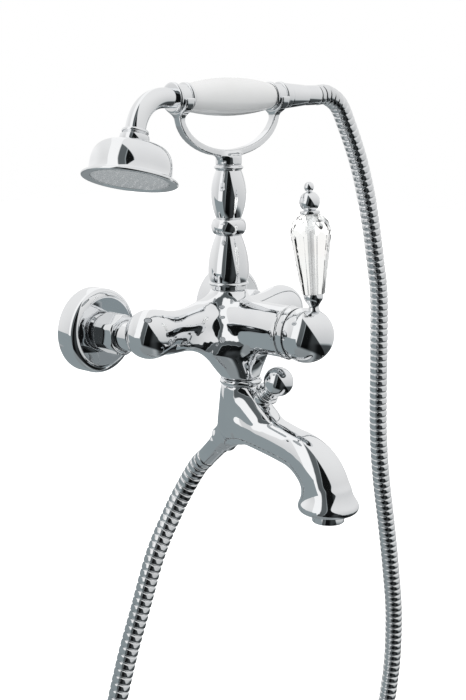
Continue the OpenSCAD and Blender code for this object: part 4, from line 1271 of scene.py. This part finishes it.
@dataclass
class Hose:
    """The metal hose of interlocked strip, hung between handset and spout.
    """

    bore_r: float = 4.0
    groove_r: float = 6.9
    crest_r: float = 8.0
    pitch: float = 5.8
    sides: int = 24
    lifted: Triple = (120.0, -76.5, 150.0)
    hung: Triple = (-65.0, -76.5, -35.0)
    route: list[Triple] = field(default_factory=lambda: [
        (103.8, -76.5, 175.05), (118, -76.5, 175), (134, -76.5, 167), (146, -76.5, 150), (161, -76.5, 124),
        (173, -76.5, 96), (183, -76.5, 65), (191, -76.5, 33), (198, -76.5, 0), (200, -76.5, -48),
        (201, -76.5, -95), (203, -76.5, -132), (209, -76.5, -173), (219, -76.5, -219), (229, -76.5, -270),
        (236, -76.5, -320), (236, -75, -380), (222, -72, -450), (190, -68, -520), (140, -62, -575),
        (85, -56, -603), (30, -50, -600), (-22, -44, -568), (-60, -38, -515), (-84, -33, -450),
        (-92, -29, -385), (-84, -26, -325), (-68, -25, -275), (-51, -25, -234), (-32, -25, -190),
        (-13, -27, -158), (-4, -32, -139), (0, -42.68, -119.32), (0, -52.37, -109.63)])

    def centre_line(self, steps: int = 24) -> list[Vector]:
        """Smooth line through the route's points.

        Args:
            steps: Number of points between two points of the route.

        Returns:
            Points from the handset's end to the spout's end, in millimetres.
        """
        pts = [Vector(p) for p in self.route]
        pts = [2 * pts[0] - pts[1], *pts, 2 * pts[-1] - pts[-2]]
        line = []
        for a, b, c, d in zip(pts, pts[1:], pts[2:], pts[3:]):
            for i in range(steps):
                t = i / steps
                line.append(0.5 * (2 * b + (c - a) * t + (2 * a - 5 * b + 4 * c - d) * t * t
                                   + (3 * b - a - 3 * c + d) * t ** 3))
        return [*line, pts[-2]]

    def profile(self, length: float) -> Profile:
        """Outline of the straight hose: rounded ribs outside, a plain bore inside.

        Args:
            length: The hose's length.

        Returns:
            Closed outline, as radius and height.
        """
        count = round(length / self.pitch)
        crest = self.crest_r
        rib = ((self.groove_r, 0.0), (crest - 0.4, 0.08), (crest - 0.08, 0.18), (crest, 0.28), (crest, 0.72),
               (crest - 0.08, 0.82), (crest - 0.4, 0.92))
        outside = [(r, (i + share) * length / count) for i in range(count) for r, share in rib]
        inside = [(self.bore_r, i * length / count) for i in range(count, -1, -1)]
        return [*outside, (self.groove_r, length), *inside]

    def bend(self, bm: Mesh, line: list[Vector]) -> None:
        """Carry the straight hose onto its centre line without twist.

        Args:
            bm: The straight hose, standing on the origin along +Z.
            line: Points of the centre line.
        """
        reach = [0.0]
        for a, b in zip(line, line[1:]):
            reach.append(reach[-1] + (b - a).length)
        side = Vector((0, 1, 0))
        frames = []
        for before, after in zip([line[0], *line], [*line[1:], line[-1]]):
            ahead = (after - before).normalized()
            side = (side - ahead * side.dot(ahead)).normalized()
            frames.append((side, ahead.cross(side)))
        index = 0
        for vert in sorted(bm.verts, key=lambda v: v.co.z):
            while index < len(line) - 2 and reach[index + 1] < vert.co.z:
                index += 1
            share = (vert.co.z - reach[index]) / (reach[index + 1] - reach[index])
            centre = line[index].lerp(line[index + 1], share)
            across = frames[index][0].lerp(frames[index + 1][0], share)
            up = frames[index][1].lerp(frames[index + 1][1], share)
            vert.co = centre + across * vert.co.x + up * vert.co.y

    def build(self) -> None:
        """Make the hose and bend it between handset and mixer."""
        line = self.centre_line()
        length = sum((b - a).length for a, b in zip(line, line[1:]))
        bm = lathe(self.profile(length), 0.0, self.sides, True)
        self.bend(bm, line)
        hose = Piece("interlocked_hose", ("shower_hose",), None, HOSE_STRIP, sharp=50).put(bm)
        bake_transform(hose)
        LOG.info("hose of %.0f mm", length)


@dataclass
class Inside:
    """Finishes of the CAD pieces that stay, nearly all of them inside."""

    finishes: tuple[Finish | CrystalFinish, ...] = (CHROME, HOSE_STRIP, PORCELAIN, BRASS, STEEL, RUBBER,
                                                    WHITE_PLASTIC, ALUMINA, SPRAY_FACE, CRYSTAL)

    def dress(self, nodes: Nodes, record: dict) -> None:
        """Give each CAD piece the finish of its material slot.

        Args:
            nodes: The CAD nodes' objects.
            record: The part's record.
        """
        finish = {f.slot: f.material() for f in self.finishes}
        for entry in record["subparts"]:
            mesh = nodes[entry["node"]].data
            mesh.materials.clear()
            mesh.materials.append(finish[entry["material_slot"]])


# Studio


@dataclass
class Studio:
    """Camera, pale floor and a studio surround that metal and glass mirror, in metres.

    The three mirror vectors say from which side the mirror ball of the surround is seen.
    """

    place: Triple = (-0.70153, -0.71649, 0.19003)
    turn: Triple = (77.643, 0.0, -47.824)
    focal: float = 64.286
    floor_z: float = -0.63
    floor_size: float = 6.0
    sky: float = 1.0
    ground: float = 0.45
    card_x: float = -0.6
    card_span: tuple[float, float] = (-0.1, 1.3)
    card_rise: tuple[float, float] = (-0.6, -0.075)
    back_y: float = 0.12
    back_x: float = 0.2
    back_rise: tuple[float, float] = (-0.6, -0.085)
    card_tint: Triple = (0.27, 0.31, 0.325)
    mirror_side: Triple = (-0.724, -0.656, 0.214)
    mirror_across: Triple = (0.6715, -0.741, 0.0)
    mirror_up: Triple = (0.1586, 0.1437, 0.977)
    lamp_power: float = 3.0
    lamp_size: float = 1.6
    lamp_place: Triple = (-0.4, -1.6, 1.7)
    lamp_aim: Triple = (0.0, -0.08, 0.02)

    def camera(self) -> None:
        """Set up the photograph's camera."""
        data = bpy.data.cameras.new("photo_camera")
        data.sensor_width = 36.0
        data.lens = self.focal
        data.clip_start = 0.01
        data.clip_end = 100.0
        eye = bpy.data.objects.new("photo_camera", data)
        eye.location = self.place
        eye.rotation_euler = [math.radians(a) for a in self.turn]
        bpy.context.scene.collection.objects.link(eye)
        bpy.context.scene.camera = eye

    def mirrored_room(self, shop: NodeTree) -> tuple[Socket, Socket]:
        """Brightness of the room that metal mirrors, for each direction.

        The direction is turned into the place on a mirror ball, seen from a fixed side, where it shows up.

        Args:
            shop: The world's nodes.

        Returns:
            The brightness, and the share of the dark doorway in it.
        """
        shift = shop.add("ShaderNodeVectorMath", operation="ADD")
        shop.feed(shift.inputs[0], shop.add("ShaderNodeTexCoord").outputs["Generated"])
        shift.inputs[1].default_value = self.mirror_side
        half = shop.add("ShaderNodeVectorMath", operation="NORMALIZE")
        shop.feed(half.inputs[0], shift)
        u, v = shop.dot(half, self.mirror_across), shop.dot(half, self.mirror_up)
        left = shop.math("ADD", shop.math("MULTIPLY_ADD", v, -0.2545, u), 0.31)
        right = shop.math("SUBTRACT", shop.math("MULTIPLY_ADD", v, -0.68, 0.25), u)
        side = shop.times(shop.ramp(u, -0.6, -0.8), shop.ramp(v, -0.45, -0.15, -0.35, 0.12))
        wall = shop.times(shop.ramp(v, -0.8, 0.7, 0.5, 0.86), shop.math("ADD", side, 1.0))
        shade = shop.times(shop.ramp(v, -0.28, -0.44), shop.ramp(u, 0.3, 0.05))
        corner = shop.times(shop.ramp(v, -0.26, -0.38), shop.ramp(u, 0.16, 0.42))
        wall = shop.dim(shop.dim(wall, shade, 0.44), corner, 0.88)
        window = shop.times(shop.ramp(left, -0.27, -0.24), shop.ramp(left, 0.0, -0.02))
        wall = shop.math("MAXIMUM", wall, shop.times(window, shop.ramp(v, -0.33, -0.29)))
        sill = shop.math("ADD", shop.math("MULTIPLY_ADD", u, 0.34, v), 0.54)
        door = shop.times(shop.ramp(left, -0.01, 0.01), shop.ramp(right, -0.01, 0.02))
        door = shop.times(door, shop.ramp(sill, -0.05, 0.05))
        edge = shop.times(shop.ramp(left, 0.155, 0.17), shop.ramp(left, 0.19, 0.175))
        jamb = shop.math("MULTIPLY_ADD", edge, -0.25, shop.ramp(left, 0.18, 0.2, 0.84, 0.99))
        depth = shop.math("SUBTRACT", jamb, shop.ramp(left, 0.4, 0.56, 0.0, 0.07))
        return shop.times(wall, shop.math("SUBTRACT", 1.0, shop.times(door, depth))), door

    def surround(self) -> None:
        """Build the world: a pale room with a dark doorway for metal, white behind the object."""
        world = bpy.data.worlds.new("studio")
        bpy.context.scene.world = world
        world.use_nodes = True
        shop = NodeTree(world.node_tree)
        level, door = self.mirrored_room(shop)
        path = shop.add("ShaderNodeLightPath")
        upward = shop.dot(shop.add("ShaderNodeTexCoord").outputs["Generated"], (0.0, 0.0, 1.0))
        plain = shop.math("MAXIMUM", path.outputs["Is Camera Ray"],
                          shop.ramp(upward, -0.7, 0.7, self.ground, self.sky))
        through = shop.math("MULTIPLY_ADD", door, -0.3, 1.0)
        amount: object = plain
        for ray, seen in (("Is Glossy Ray", level), ("Is Transmission Ray", through)):
            choice = shop.add("ShaderNodeMix")
            sockets = (*choice.inputs[:1], *choice.inputs[2:4])
            for socket, source in zip(sockets, (path.outputs[ray], amount, seen)):
                shop.feed(socket, source)
            amount = choice.outputs[0]
        tint = shop.mix(shop.ramp(amount, 0.1, 0.8), (0.86, 0.96, 1.0, 1.0), (1.0, 1.0, 1.0, 1.0))
        sky = shop.add("ShaderNodeBackground", {"Color": tint, "Strength": amount})
        shop.add("ShaderNodeOutputWorld", {"Surface": sky})

    def board(self, name: str, corners: tuple[Triple, ...], material: bpy.types.Material) -> bpy.types.Object:
        """Add a flat board to the stage.

        Args:
            name: The board's name.
            corners: Its four corners.
            material: Its material.

        Returns:
            The board's object.
        """
        bm = bmesh.new()
        bm.faces.new([bm.verts.new(corner) for corner in corners])
        mesh = bpy.data.meshes.new(name)
        bm.to_mesh(mesh)
        bm.free()
        mesh.materials.append(material)
        board = bpy.data.objects.new(name, mesh)
        bpy.context.scene.collection.objects.link(board)
        return board

    def floor(self) -> None:
        """Lay a pale floor below the hose's loop."""
        made, shop = new_material("pale_floor")
        shop.surface(shop.add("ShaderNodeBsdfPrincipled", {
            "Base Color": (0.8, 0.8, 0.8, 1.0), "Roughness": 0.6,
            "Emission Color": (1.0, 1.0, 1.0, 1.0), "Emission Strength": 0.6}))
        s, z = self.floor_size, self.floor_z
        floor = self.board("floor", ((-s, -s, z), (s, -s, z), (s, s, z), (-s, s, z)), made)
        floor.visible_glossy = False
        floor.visible_diffuse = False

    def card(self) -> None:
        """Stand low grey reflectors beside and behind the object for the metal to mirror."""
        made, shop = new_material("reflector")
        shop.surface(shop.add("ShaderNodeEmission", {"Color": (*self.card_tint, 1.0)}))
        x, (near, far), (low, high) = self.card_x, self.card_span, self.card_rise
        beside = ((x, near, low), (x, far, low), (x, far, high), (x, near, high))
        end, y, (low, high) = self.back_x, self.back_y, self.back_rise
        behind = ((x, y, low), (end, y, low), (end, y, high), (x, y, high))
        for name, corners in (("reflector_beside", beside), ("reflector_behind", behind)):
            card = self.board(name, corners, made)
            card.visible_camera = False
            card.visible_diffuse = False
            card.visible_transmission = False
            card.visible_shadow = False

    def lamp(self) -> None:
        """Hang one broad soft lamp that only shades the surfaces."""
        data = bpy.data.lights.new("soft_key", "AREA")
        data.energy = self.lamp_power
        data.size = self.lamp_size
        key = bpy.data.objects.new("soft_key", data)
        key.location = self.lamp_place
        away = Vector(self.lamp_place) - Vector(self.lamp_aim)
        key.rotation_euler = away.to_track_quat("Z", "Y").to_euler()
        key.visible_glossy = False
        key.visible_transmission = False
        bpy.context.scene.collection.objects.link(key)

    def build(self) -> None:
        """Set up camera, surround, floor, reflectors and lamp."""
        bpy.context.scene.view_settings.view_transform = "Standard"
        self.camera()
        self.surround()
        self.floor()
        self.card()
        self.lamp()


def main() -> None:
    """Build the sub-assemblies in order."""
    logging.basicConfig(level=logging.INFO, format="%(name)s: %(message)s")
    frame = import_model()
    Inside().dress(frame["nodes"], frame["record"])
    fittings = SpoutFittings()
    for part in (Column(), Lever(), fittings, Handset(), Hose()):
        part.build()
        LOG.info("%s made", type(part).__name__)
    WallConnection().build(frame["nodes"])
    Castings().build(frame["nodes"], fittings)
    Studio().build()


if __name__ == "__main__":
    main()
